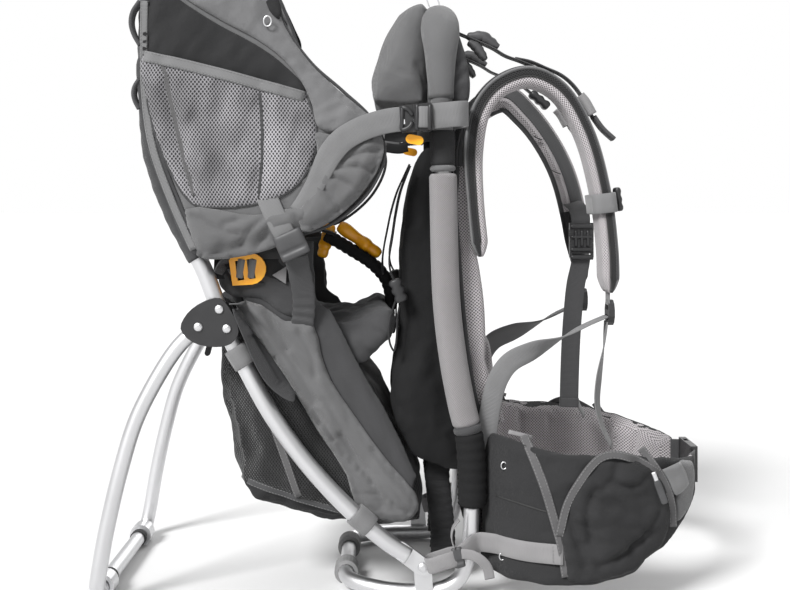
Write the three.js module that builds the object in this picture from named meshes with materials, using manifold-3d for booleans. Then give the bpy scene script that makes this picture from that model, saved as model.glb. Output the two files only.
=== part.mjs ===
// Child carrier backpack: bent aluminium frame, folding kickstand, fabric cabin for the child,
// and a padded back system with shoulder straps and a hip belt for the wearer.
// Millimetres. +X points to the wearer, +Z up, the object is symmetric about the XZ plane.
// "right" and "left" are the wearer's, so right is -Y.

import * as THREE from 'three';
import { mergeVertices } from 'three/addons/utils/BufferGeometryUtils.js';
import Module from 'manifold-3d';

// ---- driving dimensions ----
const CENTRE_X = 17;            // middle of the whole object along X, moved to the origin
const RIGHT = -1;
const LEFT = 1;
const SIDES = [['right', RIGHT], ['left', LEFT]];

const HOOP_R = 10.5;            // rear hoop tube
const FRONT_R = 10;             // front hoop tube
const BASE_R = 9.5;             // base loop tube
const STAND_R = 9.5;            // kickstand tube
const TUBE_SIDES = 10;
const HOOP_Y = 128;             // side of the rear hoop at the hub
const FRONT_Y = 125;            // side of the front hoop
const GAP = 0.3;                // between faces that touch

const PIVOT = { x: -228, z: 330 };          // kickstand pivot
const HUB_RIVET_UPPER = { x: -203, z: 351 };
const HUB_RIVET_LOWER = { x: -194, z: 328 };
const BASE_RIVET = { x: 39, z: 43 };
const SHANK_R = 2.9;
const RIVET_HOLE_R = 3.3;
const PLATE_T = 5;                          // hub plates
const OUTER_PLATE_Y = 139.2;                // inner faces of the hub plates, from the middle
const INNER_PLATE_Y = 111.8;
const LUG_Y = 128.2;                        // base lug, then the flattened hoop end beside it
const LUG_T = 6;
const HOOP_END_Y = 134.5;
const HOOP_END_T = 5;

const FOOT_R = 15;
const FOOT_HEIGHT = 13;                     // tube centre above the floor at a foot
const FOOT_LENGTH = 26;
const STAND_BAR_X = -349;
const STAND_FOOT_Y = 107;
const BASE_BAR_X = -55;
const BASE_FOOT_Y = 52;

const WING_Y = 140.5;                       // cabin side wings, inner face
const WING_T = 10;
const POCKET_T = 15;
const SEAT_HALF = 98;                       // half width of seat and luggage bag
const SEAT_SIDE_T = 12.5;
const BACK_HALF = 105;                      // half width of the back panel
const LUMBAR_HALF = 88;
const POCKET_HALF = 97.5;                   // half width of the back pocket
const PAD_INNER = 12;
const PAD_OUTER = 72;
const SLEEVE_R = 17;
const SLEEVE_INNER_R = 11.6;
const STRAP_T = 12.5;                       // half thickness of a shoulder strap
const STRAP_HALF = [21, 25];                // half width at the back, then at the chest
const STRAP_TWIST = 48;                     // how far the left strap hangs twisted, in degrees
const ADJUSTER_R = 16;
const ADJUSTER_T = 7;
const ADJUSTER_AT = { x: 267, y: 95, z: 343 };
const BUCKLE_T = 9;                         // thickness of every side-release buckle
const HIP_BUCKLE_X = 393;                   // the hip buckle stands clear of the fins' ends
const HUB_RIVET_R = 5.5;
const BASE_RIVET_R = 6;

// ---- materials ----
const material = (color, roughness, metalness = 0) =>
  new THREE.MeshStandardMaterial({ color, roughness, metalness });
const aluminium = material(0xc9c9cc, 0.3, 1);
const rubber = material(0x161617, 0.8);
const blackPlastic = material(0x1d1d20, 0.45);
const orangePlastic = material(0xf09a18, 0.4);
const rivetSteel = material(0xd8d8da, 0.25, 1);
const greyFabric = material(0x66676a, 0.85);
const darkFabric = material(0x38393c, 0.85);
const blackFabric = material(0x1b1b1d, 0.7);
const airMesh = material(0xa9a2a3, 0.95);
const sleeveFabric = material(0x9a9797, 0.9);

// ---- manifold booleans ----
const wasm = await Module();
wasm.setup();

function toManifold(geometry) {
  const bare = geometry.clone();
  bare.deleteAttribute('normal');
  bare.deleteAttribute('uv');
  const merged = mergeVertices(bare, 1e-4);
  return new wasm.Manifold(new wasm.Mesh({
    numProp: 3,
    vertProperties: new Float32Array(merged.attributes.position.array),
    triVerts: new Uint32Array(merged.index.array),
  }));
}

function fromManifold(solid) {
  const mesh = solid.getMesh();
  const geometry = new THREE.BufferGeometry();
  geometry.setAttribute('position', new THREE.BufferAttribute(mesh.vertProperties, 3));
  geometry.setIndex(new THREE.BufferAttribute(mesh.triVerts, 1));
  return geometry;
}

const cut = (geometry, ...tools) =>
  fromManifold(tools.reduce((body, tool) => body.subtract(toManifold(tool)), toManifold(geometry)));
const join = (geometry, ...others) =>
  fromManifold(others.reduce((body, other) => body.add(toManifold(other)), toManifold(geometry)));

// ---- geometry helpers ----
function signedVolume(geometry) {
  const flat = geometry.index ? geometry.toNonIndexed() : geometry;
  const position = flat.attributes.position;
  const [a, b, c] = [new THREE.Vector3(), new THREE.Vector3(), new THREE.Vector3()];
  let volume = 0;
  for (let i = 0; i < position.count; i += 3) {
    a.fromBufferAttribute(position, i);
    b.fromBufferAttribute(position, i + 1);
    c.fromBufferAttribute(position, i + 2);
    volume += a.dot(b.cross(c)) / 6;
  }
  return volume;
}

// Turns a closed surface's faces outwards.
function faceOut(geometry) {
  const flat = geometry.index ? geometry.toNonIndexed() : geometry.clone();
  flat.deleteAttribute('normal');
  flat.deleteAttribute('uv');
  if (signedVolume(flat) < 0) {
    const p = flat.attributes.position.array;
    for (let i = 0; i < p.length; i += 9) {
      for (let k = 0; k < 3; k += 1) {
        [p[i + 3 + k], p[i + 6 + k]] = [p[i + 6 + k], p[i + 3 + k]];
      }
    }
  }
  return mergeVertices(flat, 1e-4);
}

const point = ([x, y, z]) => new THREE.Vector3(x, y, z);
const curveThrough = (points) => new THREE.CatmullRomCurve3(points.map(point), false, 'centripetal');

function circle(radius, sides = TUBE_SIDES) {
  const corners = Array.from({ length: sides }, (_, i) => {
    const angle = (2 * Math.PI * (i + 0.5)) / sides;
    return new THREE.Vector2(radius * Math.cos(angle), radius * Math.sin(angle));
  });
  return corners;
}

function tube(curve, radius, steps, innerRadius = 0) {
  const shape = new THREE.Shape(circle(radius));
  if (innerRadius > 0) {
    shape.holes.push(new THREE.Path(circle(innerRadius).reverse()));
  }
  return faceOut(new THREE.ExtrudeGeometry(shape, { steps, extrudePath: curve, bevelEnabled: false }));
}

// Part of a curve, as a curve of its own.
function stretchOf(curve, from, to, count) {
  const step = (to - from) / count;
  const points = Array.from({ length: count + 1 }, (_, i) => curve.getPointAt(from + step * i));
  return new THREE.CatmullRomCurve3(points, false, 'centripetal');
}

// Closed outline through corner points: straight between them, or a smooth curve.
const outline = (corners) => new THREE.Shape(corners.map(([x, z]) => new THREE.Vector2(x, z)));
function smoothOutline(corners, perCorner = 3) {
  const through = corners.map(([x, z]) => new THREE.Vector3(x, z, 0));
  const curve = new THREE.CatmullRomCurve3(through, true, 'centripetal');
  const points = curve.getPoints(corners.length * perCorner).slice(1);
  return new THREE.Shape(points.map((p) => new THREE.Vector2(p.x, p.y)));
}

// A strip with round ends, between two points.
function capsule(from, to, radius) {
  const angle = Math.atan2(to[1] - from[1], to[0] - from[0]);
  const shape = new THREE.Shape();
  shape.absarc(to[0], to[1], radius, angle - Math.PI / 2, angle + Math.PI / 2, false);
  shape.absarc(from[0], from[1], radius, angle + Math.PI / 2, angle + (3 * Math.PI) / 2, false);
  return shape;
}

// A shape drawn in the XZ plane, thick from |Y| = near to near + thickness on one side.
function plate(shape, near, thickness, side, curveSegments = 8) {
  const options = { depth: thickness, bevelEnabled: false, curveSegments };
  const geometry = new THREE.ExtrudeGeometry(shape, options);
  geometry.rotateX(Math.PI / 2);
  geometry.translate(0, side > 0 ? near + thickness : -near, 0);
  return faceOut(geometry);
}

// A shape drawn in the XZ plane, the same on both sides of the middle.
const slab = (shape, half) => plate(shape, -half, 2 * half, LEFT);

// Solid through a row of rings with the same number of corners, closed at both ends.
function loft(rings) {
  const count = rings[0].length;
  const positions = [];
  const indices = [];
  rings.forEach((ring) => ring.forEach((p) => positions.push(p.x, p.y, p.z)));
  for (let r = 0; r < rings.length - 1; r += 1) {
    for (let i = 0; i < count; i += 1) {
      const a = r * count + i;
      const b = r * count + ((i + 1) % count);
      indices.push(a, b, b + count, a, b + count, a + count);
    }
  }
  [[0, true], [rings.length - 1, false]].forEach(([r, first]) => {
    for (let i = 1; i < count - 1; i += 1) {
      const [a, b, c] = [r * count, r * count + i, r * count + i + 1];
      indices.push(a, first ? c : b, first ? b : c);
    }
  });
  const geometry = new THREE.BufferGeometry();
  geometry.setAttribute('position', new THREE.Float32BufferAttribute(positions, 3));
  geometry.setIndex(indices);
  return faceOut(geometry);
}

// Corners of a rounded bar section: half width along u, half thickness along v.
function sectionRing(centre, u, v, halfWidth, halfThickness) {
  const chamfer = Math.min(halfThickness * 0.55, halfWidth * 0.55);
  const corners = [
    [halfWidth, halfThickness - chamfer], [halfWidth - chamfer, halfThickness],
    [chamfer - halfWidth, halfThickness], [-halfWidth, halfThickness - chamfer],
    [-halfWidth, chamfer - halfThickness], [chamfer - halfWidth, -halfThickness],
    [halfWidth - chamfer, -halfThickness], [halfWidth, chamfer - halfThickness],
  ];
  return corners.map(([a, b]) => centre.clone().addScaledVector(u, a).addScaledVector(v, b));
}

function rod(radius, length, sides = 12) {
  return new THREE.CylinderGeometry(radius, radius, length, sides);
}

// Domed rivet along Y: a head on the outside, a shank, and a flat head on the inside.
function rivet(at, innerY, outerY, headR, side) {
  const shank = outerY - innerY;
  const profile = [
    [0, -2], [headR * 0.8, -2], [headR * 0.8, -GAP], [SHANK_R, -GAP], [SHANK_R, shank + GAP],
    [headR, shank + GAP], [headR * 0.85, shank + 1.6], [headR * 0.45, shank + 2.6], [0, shank + 2.8],
  ];
  const geometry = new THREE.LatheGeometry(profile.map(([r, y]) => new THREE.Vector2(r, y)), 14);
  if (side < 0) {
    geometry.rotateX(Math.PI);
  }
  geometry.translate(at.x, side * innerY, at.z);
  return faceOut(geometry);
}

// Straight hole along Y, for cutting.
function bore(at, radius) {
  const geometry = rod(radius, 600);
  geometry.translate(at.x, 0, at.z);
  return geometry;
}

// ---- the group ----
const carrier = new THREE.Group();
carrier.position.x = -CENTRE_X;

function add(name, geometry, look) {
  const mesh = new THREE.Mesh(geometry, look);
  mesh.name = name;
  carrier.add(mesh);
  return mesh;
}

// ---- frame tubes ----
// Each side of a hoop is [x, |y|, z] from one end to the middle; the other side mirrors it.
function hoopCurve(half) {
  const right = half.map(([x, y, z]) => [x, -y, z]);
  const left = half.slice(0, -1).reverse();
  return curveThrough([...right, ...left]);
}

const rearHoop = hoopCurve([
  [22, 137, 56], [-6, 136, 74], [-54, 134, 116], [-102, 132, 168], [-142, 130.5, 223], [-173, 129, 279],
  [-195, HOOP_Y, 322], [-210, HOOP_Y, 362], [-225, HOOP_Y, 400], [-253, HOOP_Y, 452], [-271, HOOP_Y, 494],
  [-285, HOOP_Y, 542], [-289, HOOP_Y, 601], [-290, HOOP_Y, 667], [-288, 126, 725], [-284, 116, 768],
  [-280, 92, 789], [-279, 60, 794], [-279, 0, 795],
]);
const frontHoop = hoopCurve([
  [98.5, FRONT_Y, 113], [99, FRONT_Y, 130], [96, FRONT_Y, 192], [86, FRONT_Y, 236], [76, FRONT_Y, 290],
  [68, FRONT_Y, 361], [64, FRONT_Y, 505], [61, FRONT_Y, 640], [61, 122, 672], [61, 105, 695],
  [61, 80, 702], [61, 0, 703],
]);
const baseLoop = hoopCurve([
  [98.5, FRONT_Y, 112.4], [97, FRONT_Y, 80], [93, FRONT_Y, 48], [82, FRONT_Y, 24], [60, FRONT_Y, 11.5],
  [30, FRONT_Y, BASE_R], [0, 122, 10], [-30, 108, 11.5], [-48, 92, 12.6], [BASE_BAR_X, 72, FOOT_HEIGHT],
  [BASE_BAR_X, 56, FOOT_HEIGHT], [BASE_BAR_X, 36, FOOT_HEIGHT], [BASE_BAR_X, 0, FOOT_HEIGHT],
]);
const standCurve = hoopCurve([
  [-224.5, HOOP_Y, 333.4], [-240, HOOP_Y, 319.5], [-255, 129, 304], [-274, 131, 276], [-303, 136, 219],
  [-321, 140, 159], [-337, 144, 88], [-345, 145, 42], [STAND_BAR_X, 140, 19],
  [STAND_BAR_X, 130, FOOT_HEIGHT], [STAND_BAR_X, 104, FOOT_HEIGHT], [STAND_BAR_X, 0, FOOT_HEIGHT],
]);

function buildFrame() {
  const hoopEnd = capsule([12, 63], [BASE_RIVET.x, BASE_RIVET.z], 11);
  const hoopEnds = SIDES.map(([, side]) => plate(hoopEnd, HOOP_END_Y, HOOP_END_T, side, 5));
  const hoopHoles = [HUB_RIVET_UPPER, HUB_RIVET_LOWER, BASE_RIVET].map((at) => bore(at, RIVET_HOLE_R));
  add('rear_hoop', cut(join(tube(rearHoop, HOOP_R, 64), ...hoopEnds), ...hoopHoles), aluminium);
  add('front_hoop', tube(frontHoop, FRONT_R, 44), aluminium);

  const lug = capsule([BASE_RIVET.x + 2, 12], [BASE_RIVET.x, BASE_RIVET.z], 10);
  const lugs = SIDES.map(([, side]) => plate(lug, LUG_Y, LUG_T, side, 5));
  const loopWithLugs = join(tube(baseLoop, BASE_R, 48), ...lugs);
  add('base_loop', cut(loopWithLugs, bore(BASE_RIVET, RIVET_HOLE_R)), aluminium);
  add('kickstand', cut(tube(standCurve, STAND_R, 52), bore(PIVOT, RIVET_HOLE_R)), aluminium);
}

// Rubber foot around a straight stretch of tube along Y, with a flat sole.
function buildFeet() {
  const cutAngle = Math.asin(FOOT_HEIGHT / FOOT_R);
  const sole = new THREE.Shape();
  sole.absarc(0, FOOT_HEIGHT, FOOT_R, -cutAngle, Math.PI + cutAngle, false);
  const centre = new THREE.Vector2(0, FOOT_HEIGHT);
  const tubeHole = circle(STAND_R + 0.7, 14).map((p) => p.add(centre)).reverse();
  sole.holes.push(new THREE.Path(tubeHole));
  const places = [['kickstand_foot', STAND_BAR_X, STAND_FOOT_Y], ['base_foot', BASE_BAR_X, BASE_FOOT_Y]];
  places.forEach(([name, x, y]) => {
    SIDES.forEach(([label, side]) => {
      const foot = plate(sole, y - FOOT_LENGTH / 2, FOOT_LENGTH, side, 9);
      foot.translate(x, 0, 0);
      add(`${name}_${label}`, foot, rubber);
    });
  });
}

// Rounded-triangle plates that clamp the hoop and carry the kickstand pivot.
function buildHub() {
  const hub = smoothOutline([
    [-249, 328], [-241, 346], [-222, 360], [-203, 364], [-191, 352], [-180, 324], [-189, 310],
    [-208, 306], [-235, 312],
  ]);
  const holes = [PIVOT, HUB_RIVET_UPPER, HUB_RIVET_LOWER].map((at) => bore(at, RIVET_HOLE_R));
  const innerEnd = INNER_PLATE_Y - GAP;
  const outerEnd = OUTER_PLATE_Y + PLATE_T + GAP;
  SIDES.forEach(([label, side]) => {
    add(`hub_plate_outer_${label}`, cut(plate(hub, OUTER_PLATE_Y, PLATE_T, side), ...holes), blackPlastic);
    add(`hub_plate_inner_${label}`, cut(plate(hub, INNER_PLATE_Y, PLATE_T, side), ...holes), blackPlastic);
    const names = ['pivot_rivet', 'hub_rivet_upper', 'hub_rivet_lower'];
    [PIVOT, HUB_RIVET_UPPER, HUB_RIVET_LOWER].forEach((at, i) => {
      const name = names[i];
      add(`${name}_${label}`, rivet(at, innerEnd, outerEnd, HUB_RIVET_R, side), rivetSteel);
    });
    const lever = capsule([-217, 316], [-223, 294], 3.4);
    add(`lock_lever_${label}`, plate(lever, 103.5, 4, side, 6), rubber);
    const baseRivet = rivet(BASE_RIVET, LUG_Y - GAP, HOOP_END_Y + HOOP_END_T + GAP, BASE_RIVET_R, side);
    add(`base_rivet_${label}`, baseRivet, rivetSteel);
  });
}

// ---- child's cabin ----
function buildCabin() {
  const wing = smoothOutline([
    [-298, 720], [-299, 650], [-297, 595], [-288, 540], [-262, 472], [-232, 411], [-207, 410], [-154, 424],
    [-106, 436], [-66, 450], [-21, 490], [-3, 538], [-18, 578], [-55, 614], [-90, 645], [-122, 688],
    [-142, 740], [-170, 795], [-215, 826], [-262, 822], [-290, 788],
  ], 2);
  const pocket = smoothOutline([
    [-290, 648], [-232, 636], [-160, 614], [-102, 601], [-86, 563], [-94, 520], [-122, 486], [-170, 471],
    [-228, 472], [-262, 515], [-288, 580],
  ], 2);
  const pocketInside = smoothOutline([
    [-284, 668], [-232, 660], [-160, 645], [-108, 630], [-91, 563], [-99, 523], [-125, 491], [-170, 476],
    [-224, 477], [-257, 518], [-282, 582],
  ], 2);
  SIDES.forEach(([label, side]) => {
    add(`cabin_wing_${label}`, plate(wing, WING_Y, WING_T, side), greyFabric);
    const pocketY = WING_Y + WING_T + GAP;
    const outer = plate(pocket, pocketY, POCKET_T, side);
    const hollow = plate(pocketInside, pocketY - 1, POCKET_T - 1, side);
    add(`mesh_pocket_${label}`, cut(outer, hollow), airMesh);
  });
  add('cabin_back', slab(outline([
    [-232, 420], [-257, 470], [-276, 520], [-284, 570], [-287, 640], [-285, 700],
    [-271, 700], [-273, 640], [-270, 572], [-261, 522], [-242, 474], [-216, 424],
  ]), 112), greyFabric);
  add('head_rest', slab(smoothOutline([
    [-265, 712], [-266, 760], [-264, 805], [-253, 818], [-241, 806], [-236, 760], [-240, 714], [-253, 704],
  ], 2), 110), darkFabric);
  add('seat', slab(outline([
    [-200, 405], [-165, 362], [-115, 338], [-55, 336], [-10, 350], [6, 356], [6, 324], [-26, 277],
    [-90, 276], [-150, 296], [-204, 372],
  ]), SEAT_HALF), darkFabric);
  add('luggage_bag', slab(outline([
    [-208, 371], [-208, 300], [-206, 239], [-194, 179], [-186, 130], [-172, 108], [-139, 98], [-79, 82],
    [12, 77], [44, 84], [28, 150], [-6, 211], [-28, 274], [-90, 275.4], [-151, 295.2],
  ]), SEAT_HALF), blackFabric);
  const seatSide = outline([
    [-208, 403], [-192, 428], [-92, 438], [-84, 360], [-66, 350], [-40, 300], [-8, 240], [22, 183],
    [38, 147], [32, 92], [8, 100], [-54, 158], [-119, 242], [-172, 330],
  ]);
  SIDES.forEach(([label, side]) => {
    add(`seat_side_${label}`, plate(seatSide, SEAT_HALF + GAP, SEAT_SIDE_T, side), greyFabric);
  });
}

function buildHarness() {
  const path = curveThrough([[-82, 0, 434], [-50, 0, 416], [-22, 0, 397], [-4, 0, 376], [1, 0, 362]]);
  const rings = Array.from({ length: 9 }, (_, i) => {
    const along = path.getTangentAt(i / 8);
    const across = new THREE.Vector3(0, 1, 0);
    return sectionRing(path.getPointAt(i / 8), across, along.clone().cross(across).normalize(), 24, 5);
  });
  add('child_harness', loft(rings), blackFabric);
  const buckle = new THREE.BoxGeometry(66, 30, 10);
  buckle.rotateY(Math.atan2(42, 62));
  buckle.translate(-42, 0, 427);
  add('harness_buckle', faceOut(buckle), orangePlastic);
  // Orange ladder locks that set the cabin's height.
  SIDES.forEach(([label, side]) => {
    const frame = new THREE.Shape();
    frame.moveTo(-20, -17);
    frame.lineTo(4, -19);
    frame.absarc(4, 0, 19, -Math.PI / 2, Math.PI / 2, false);
    frame.lineTo(-20, 17);
    const webbingSlots = [[-13, -5], [1, 9]].map(([from, to]) => {
      const slot = new THREE.BoxGeometry(to - from, 2 * 130, 24);
      slot.translate((from + to) / 2, 0, 0);
      return slot;
    });
    const lock = cut(plate(frame, 115.5, 5, side, 5), ...webbingSlots);
    lock.rotateY(THREE.MathUtils.degToRad(-8));
    lock.translate(-173, 0, 397);
    add(`cabin_adjuster_${label}`, lock, orangePlastic);
  });
}

// ---- wearer's back system ----
function buildBackSystem() {
  const pad = outline([
    [77, 515], [94, 506], [103, 469], [98, 437], [110, 408], [115, 355], [115, 330], [128, 292],
    [133, 242], [131, 208], [106.5, 208], [98.5, 236], [88, 290], [80.5, 361], [76.5, 505],
  ]);
  SIDES.forEach(([label, side]) => {
    // The sleeve follows the hoop between two fractions of the hoop's length.
    const [from, to] = side === RIGHT ? [0.07, 0.262] : [1 - 0.262, 1 - 0.07];
    const sleeve = tube(stretchOf(frontHoop, from, to, 10), SLEEVE_R, 14, SLEEVE_INNER_R);
    add(`frame_sleeve_${label}`, sleeve, sleeveFabric);
    add(`back_pad_${label}`, plate(pad, PAD_INNER, PAD_OUTER - PAD_INNER, side), airMesh);
  });
  // The panel thickens at its top, behind the wearer's neck.
  add('back_panel', slab(outline([
    [50, 670], [50, 600], [63, 584], [64, 505], [68, 361], [76, 290], [86, 236], [95, 192],
    [98, 130], [98, 50], [110, 50], [110, 130], [107, 192], [97.5, 236], [87, 290], [79.5, 361],
    [75.5, 505], [77, 570], [90, 600], [92, 640], [85, 664], [74, 676], [60, 677],
  ]), BACK_HALF), darkFabric);
  add('lumbar_pad', slab(outline([
    [110.5, 34], [110.5, 130], [107.6, 196], [110, 205], [131, 205], [135, 150], [134, 60], [128, 34],
  ]), LUMBAR_HALF), airMesh);
  add('back_pocket', slab(outline([
    [47, 553], [26, 482], [19, 420], [17, 322], [7, 236], [11, 199], [31, 158], [72, 143],
    [96, 143], [94.5, 192], [85.5, 236], [75.5, 290], [67.5, 361], [63.5, 505], [62.5, 553],
  ]), POCKET_HALF), blackFabric);
  const chinOutline = [
    [47, 736], [22, 726], [-1, 686], [-20, 634], [-28, 600], [-16, 591], [20, 589], [46, 592],
    [49, 640], [49, 700],
  ];
  const chinCentre = new THREE.Vector2(14, 655);
  const chinStations = [
    [-104, 0.84], [-98, 0.94], [-80, 0.98], [-40, 1], [0, 1], [40, 1], [80, 0.98], [98, 0.94], [104, 0.84],
  ];
  const chinRings = chinStations.map(([y, scale]) => chinOutline.map(([x, z]) => new THREE.Vector3(
    chinCentre.x + (x - chinCentre.x) * scale, y, chinCentre.y + (z - chinCentre.y) * scale,
  )));
  add('chin_pad', loft(chinRings), greyFabric);
}

const strapBack = [[111, 98, 412], [104, 98, 481], [102, 98, 542], [111, 97, 590]];
const strapFront = {
  right: [[134, 94, 619], [171, 90, 632], [207, 88, 615], [238, 89, 565], [258, 91, 493], [267, 93, 420]],
  left: [[133, 94, 614], [163, 90, 625], [194, 88, 603], [220, 88, 566], [243, 89, 518], [259, 92, 450]],
};
const strapEnd = [268, 95, 368];
const strapCurve = (label, side) => curveThrough(
  [...strapBack, ...strapFront[label], strapEnd].map(([x, y, z]) => [x, side * y, z]),
);

function buildStraps() {
  // The left strap hangs twisted towards the middle, the right one lies square.
  const twists = { right: 0, left: THREE.MathUtils.degToRad(STRAP_TWIST) };
  const steps = 26;
  SIDES.forEach(([label, side]) => {
    const path = strapCurve(label, side);
    const rings = Array.from({ length: steps + 1 }, (_, i) => {
      const t = i / steps;
      const along = path.getTangentAt(t);
      const across = new THREE.Vector3(0, 1, 0);
      const normal = across.clone().cross(along).normalize();
      const hold = THREE.MathUtils.smoothstep(t, 0.25, 0.5) * (1 - THREE.MathUtils.smoothstep(t, 0.86, 1));
      const twist = twists[label] * hold * -side;
      const u = across.clone().multiplyScalar(Math.cos(twist)).addScaledVector(normal, Math.sin(twist));
      const v = normal.clone().multiplyScalar(Math.cos(twist)).addScaledVector(across, -Math.sin(twist));
      const end = Math.min(1, 0.55 + Math.min(t, 1 - t) * 9);
      const halfWidth = STRAP_HALF[t < 0.3 ? 0 : 1];
      return sectionRing(path.getPointAt(t), u, v, halfWidth * end, STRAP_T * end);
    });
    add(`shoulder_strap_${label}`, loft(rings), airMesh);

    const lock = new THREE.Shape(circle(ADJUSTER_R, 12));
    [[-9, -3], [3, 9]].forEach(([low, high]) => {
      const slot = [[-9, high], [9, high], [9, low], [-9, low]].map(([a, b]) => new THREE.Vector2(a, b));
      lock.holes.push(new THREE.Path(slot));
    });
    const adjuster = new THREE.ExtrudeGeometry(lock, { depth: ADJUSTER_T, bevelEnabled: false });
    adjuster.rotateX(Math.PI / 2);
    adjuster.rotateZ(Math.PI / 2);
    adjuster.translate(ADJUSTER_AT.x, side * ADJUSTER_AT.y, ADJUSTER_AT.z);
    add(`strap_adjuster_${label}`, faceOut(adjuster), blackPlastic);
  });
}

// ---- side-release buckles ----
// Drawn along +X from the joint plane: the socket on the +X side, the tongue on the -X side.
function buckleSocket(width, length, thickness) {
  const body = new THREE.BoxGeometry(length, width, thickness);
  body.translate(length / 2, 0, 0);
  const cavity = new THREE.BoxGeometry(length * 0.72 + 1, width - 5, thickness - 3.4);
  cavity.translate((length * 0.72 - 1) / 2, 0, 0);
  const windows = new THREE.BoxGeometry(length * 0.34, width + 2, thickness - 3.4);
  windows.translate(length * 0.48, 0, 0);
  const slot = new THREE.BoxGeometry(2.6, width - 6, thickness + 2);
  slot.translate(length - 3.2, 0, 0);
  return cut(body, cavity, windows, slot);
}

function buckleTongue(width, length, thickness) {
  const body = new THREE.BoxGeometry(length * 0.7, width, thickness);
  body.translate(-length * 0.35 - GAP, 0, 0);
  const slot = new THREE.BoxGeometry(2.6, width - 6, thickness + 2);
  slot.translate(-length * 0.7 + 3.4, 0, 0);
  const prongs = [-1, 0, 1].map((place) => {
    const prong = new THREE.BoxGeometry(length * 0.64, place === 0 ? 3 : 4.2, thickness - 4.4);
    prong.translate(length * 0.3 - 2, place * (width / 2 - 5.2), 0);
    return prong;
  });
  return cut(join(body, ...prongs), slot);
}

// Places a buckle half: its joint plane at "at", its length along "along", its width along "across".
function placed(geometry, at, along, across) {
  const x = point(along).normalize();
  const y = point(across).addScaledVector(x, -point(across).dot(x)).normalize();
  const basis = new THREE.Matrix4().makeBasis(x, y, x.clone().cross(y));
  return faceOut(geometry.clone().applyMatrix4(basis).translate(...at));
}

// Both halves of a buckle of one size, [width, length of a half].
function addBuckle(socketName, tongueName, [width, length], at, along, across) {
  const socket = placed(buckleSocket(width, length, BUCKLE_T), at, along, across);
  const tongue = placed(buckleTongue(width, length, BUCKLE_T), at, along, across);
  add(socketName, socket, blackPlastic);
  add(tongueName, tongue, blackPlastic);
}

function buildBuckles() {
  SIDES.forEach(([label, side]) => {
    const at = [28, side * 159, 577];
    const names = [`entry_buckle_socket_${label}`, `entry_buckle_tongue_${label}`];
    addBuckle(...names, [32, 22], at, [1, 0, 0.1], [0, 0, 1]);
  });

  // Chest strap: a slider on the right shoulder strap, and a buckle that hangs from the left one.
  const slider = (width, depth, height) => {
    const outer = new THREE.BoxGeometry(depth, width, height);
    const inner = new THREE.BoxGeometry(depth - 5, width - 5, height + 2);
    return cut(outer, inner);
  };
  const tilt = Math.atan2(9, 73);
  const right = slider(63, 34, 20);
  right.rotateY(-tilt);
  right.translate(260, -91.5, 477);
  add('sternum_slider_right', faceOut(right), blackPlastic);
  const chestAt = [257, 34, 424];
  addBuckle('sternum_socket', 'sternum_tongue', [32, 27], chestAt, [0, 0, 1], [1, 0, 0]);
  addBuckle('hip_buckle_socket', 'hip_buckle_tongue', [46, 36], [HIP_BUCKLE_X, 0, 140], [0, 1, 0], [0, 0, 1]);
}

// ---- hip belt ----
function buildHipBelt() {
  // Stations along one fin: place of the middle, half thickness, underside and top.
  const stations = [
    [122.5, 89, 11, 36, 202], [129, 112, 11.5, 30, 204], [146, 140, 13, 26, 204], [182, 165, 15, 26, 197],
    [230, 174, 16, 30, 191], [280, 163, 15, 42, 188], [322, 138, 12.5, 62, 182], [352, 104, 9.5, 86, 173],
    [372, 68, 7.5, 104, 166], [381, 44, 6, 116, 162],
  ];
  SIDES.forEach(([label, side]) => {
    const middle = curveThrough(stations.map(([x, y]) => [x, side * y, 0]));
    const rings = stations.map(([x, y, half, low, high], i) => {
      const along = middle.getTangent(i / (stations.length - 1));
      const inward = new THREE.Vector3(-along.y, along.x, 0).normalize();
      const centre = new THREE.Vector3(x, side * y, (low + high) / 2);
      if (i === 0) {
        inward.set(1, 0, 0);
      }
      return sectionRing(centre, new THREE.Vector3(0, 0, 1), inward, (high - low) / 2, half);
    });
    add(`hip_fin_${label}`, loft(rings), darkFabric);
  });
  // The pull lies against the outside of the right fin, in the plane of the fin's front stretch.
  const pull = plate(capsule([-6, 15], [6, -15], 4), -1.5, 3, LEFT, 5);
  pull.rotateZ(THREE.MathUtils.degToRad(33));
  pull.translate(314.2, -162.8, 143);
  add('zip_pull', pull, sleeveFabric);
}

buildFrame();
buildFeet();
buildHub();
buildCabin();
buildHarness();
buildBackSystem();
buildStraps();
buildBuckles();
buildHipBelt();

export default carrier;
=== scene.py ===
"""Looks of the child carrier backpack: tubes, plastics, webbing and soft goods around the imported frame.

Lengths in the piece functions are millimetres from the frame's own datum, and V() turns them into
metres in the row frame. Side -1 is the wearer's right, side 1 the left.
"""

import math

import bmesh
import bpy
import numpy as np
from mathutils import Matrix, Vector, noise
from mathutils.bvhtree import BVHTree
from mathutils.geometry import delaunay_2d_cdt


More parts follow.
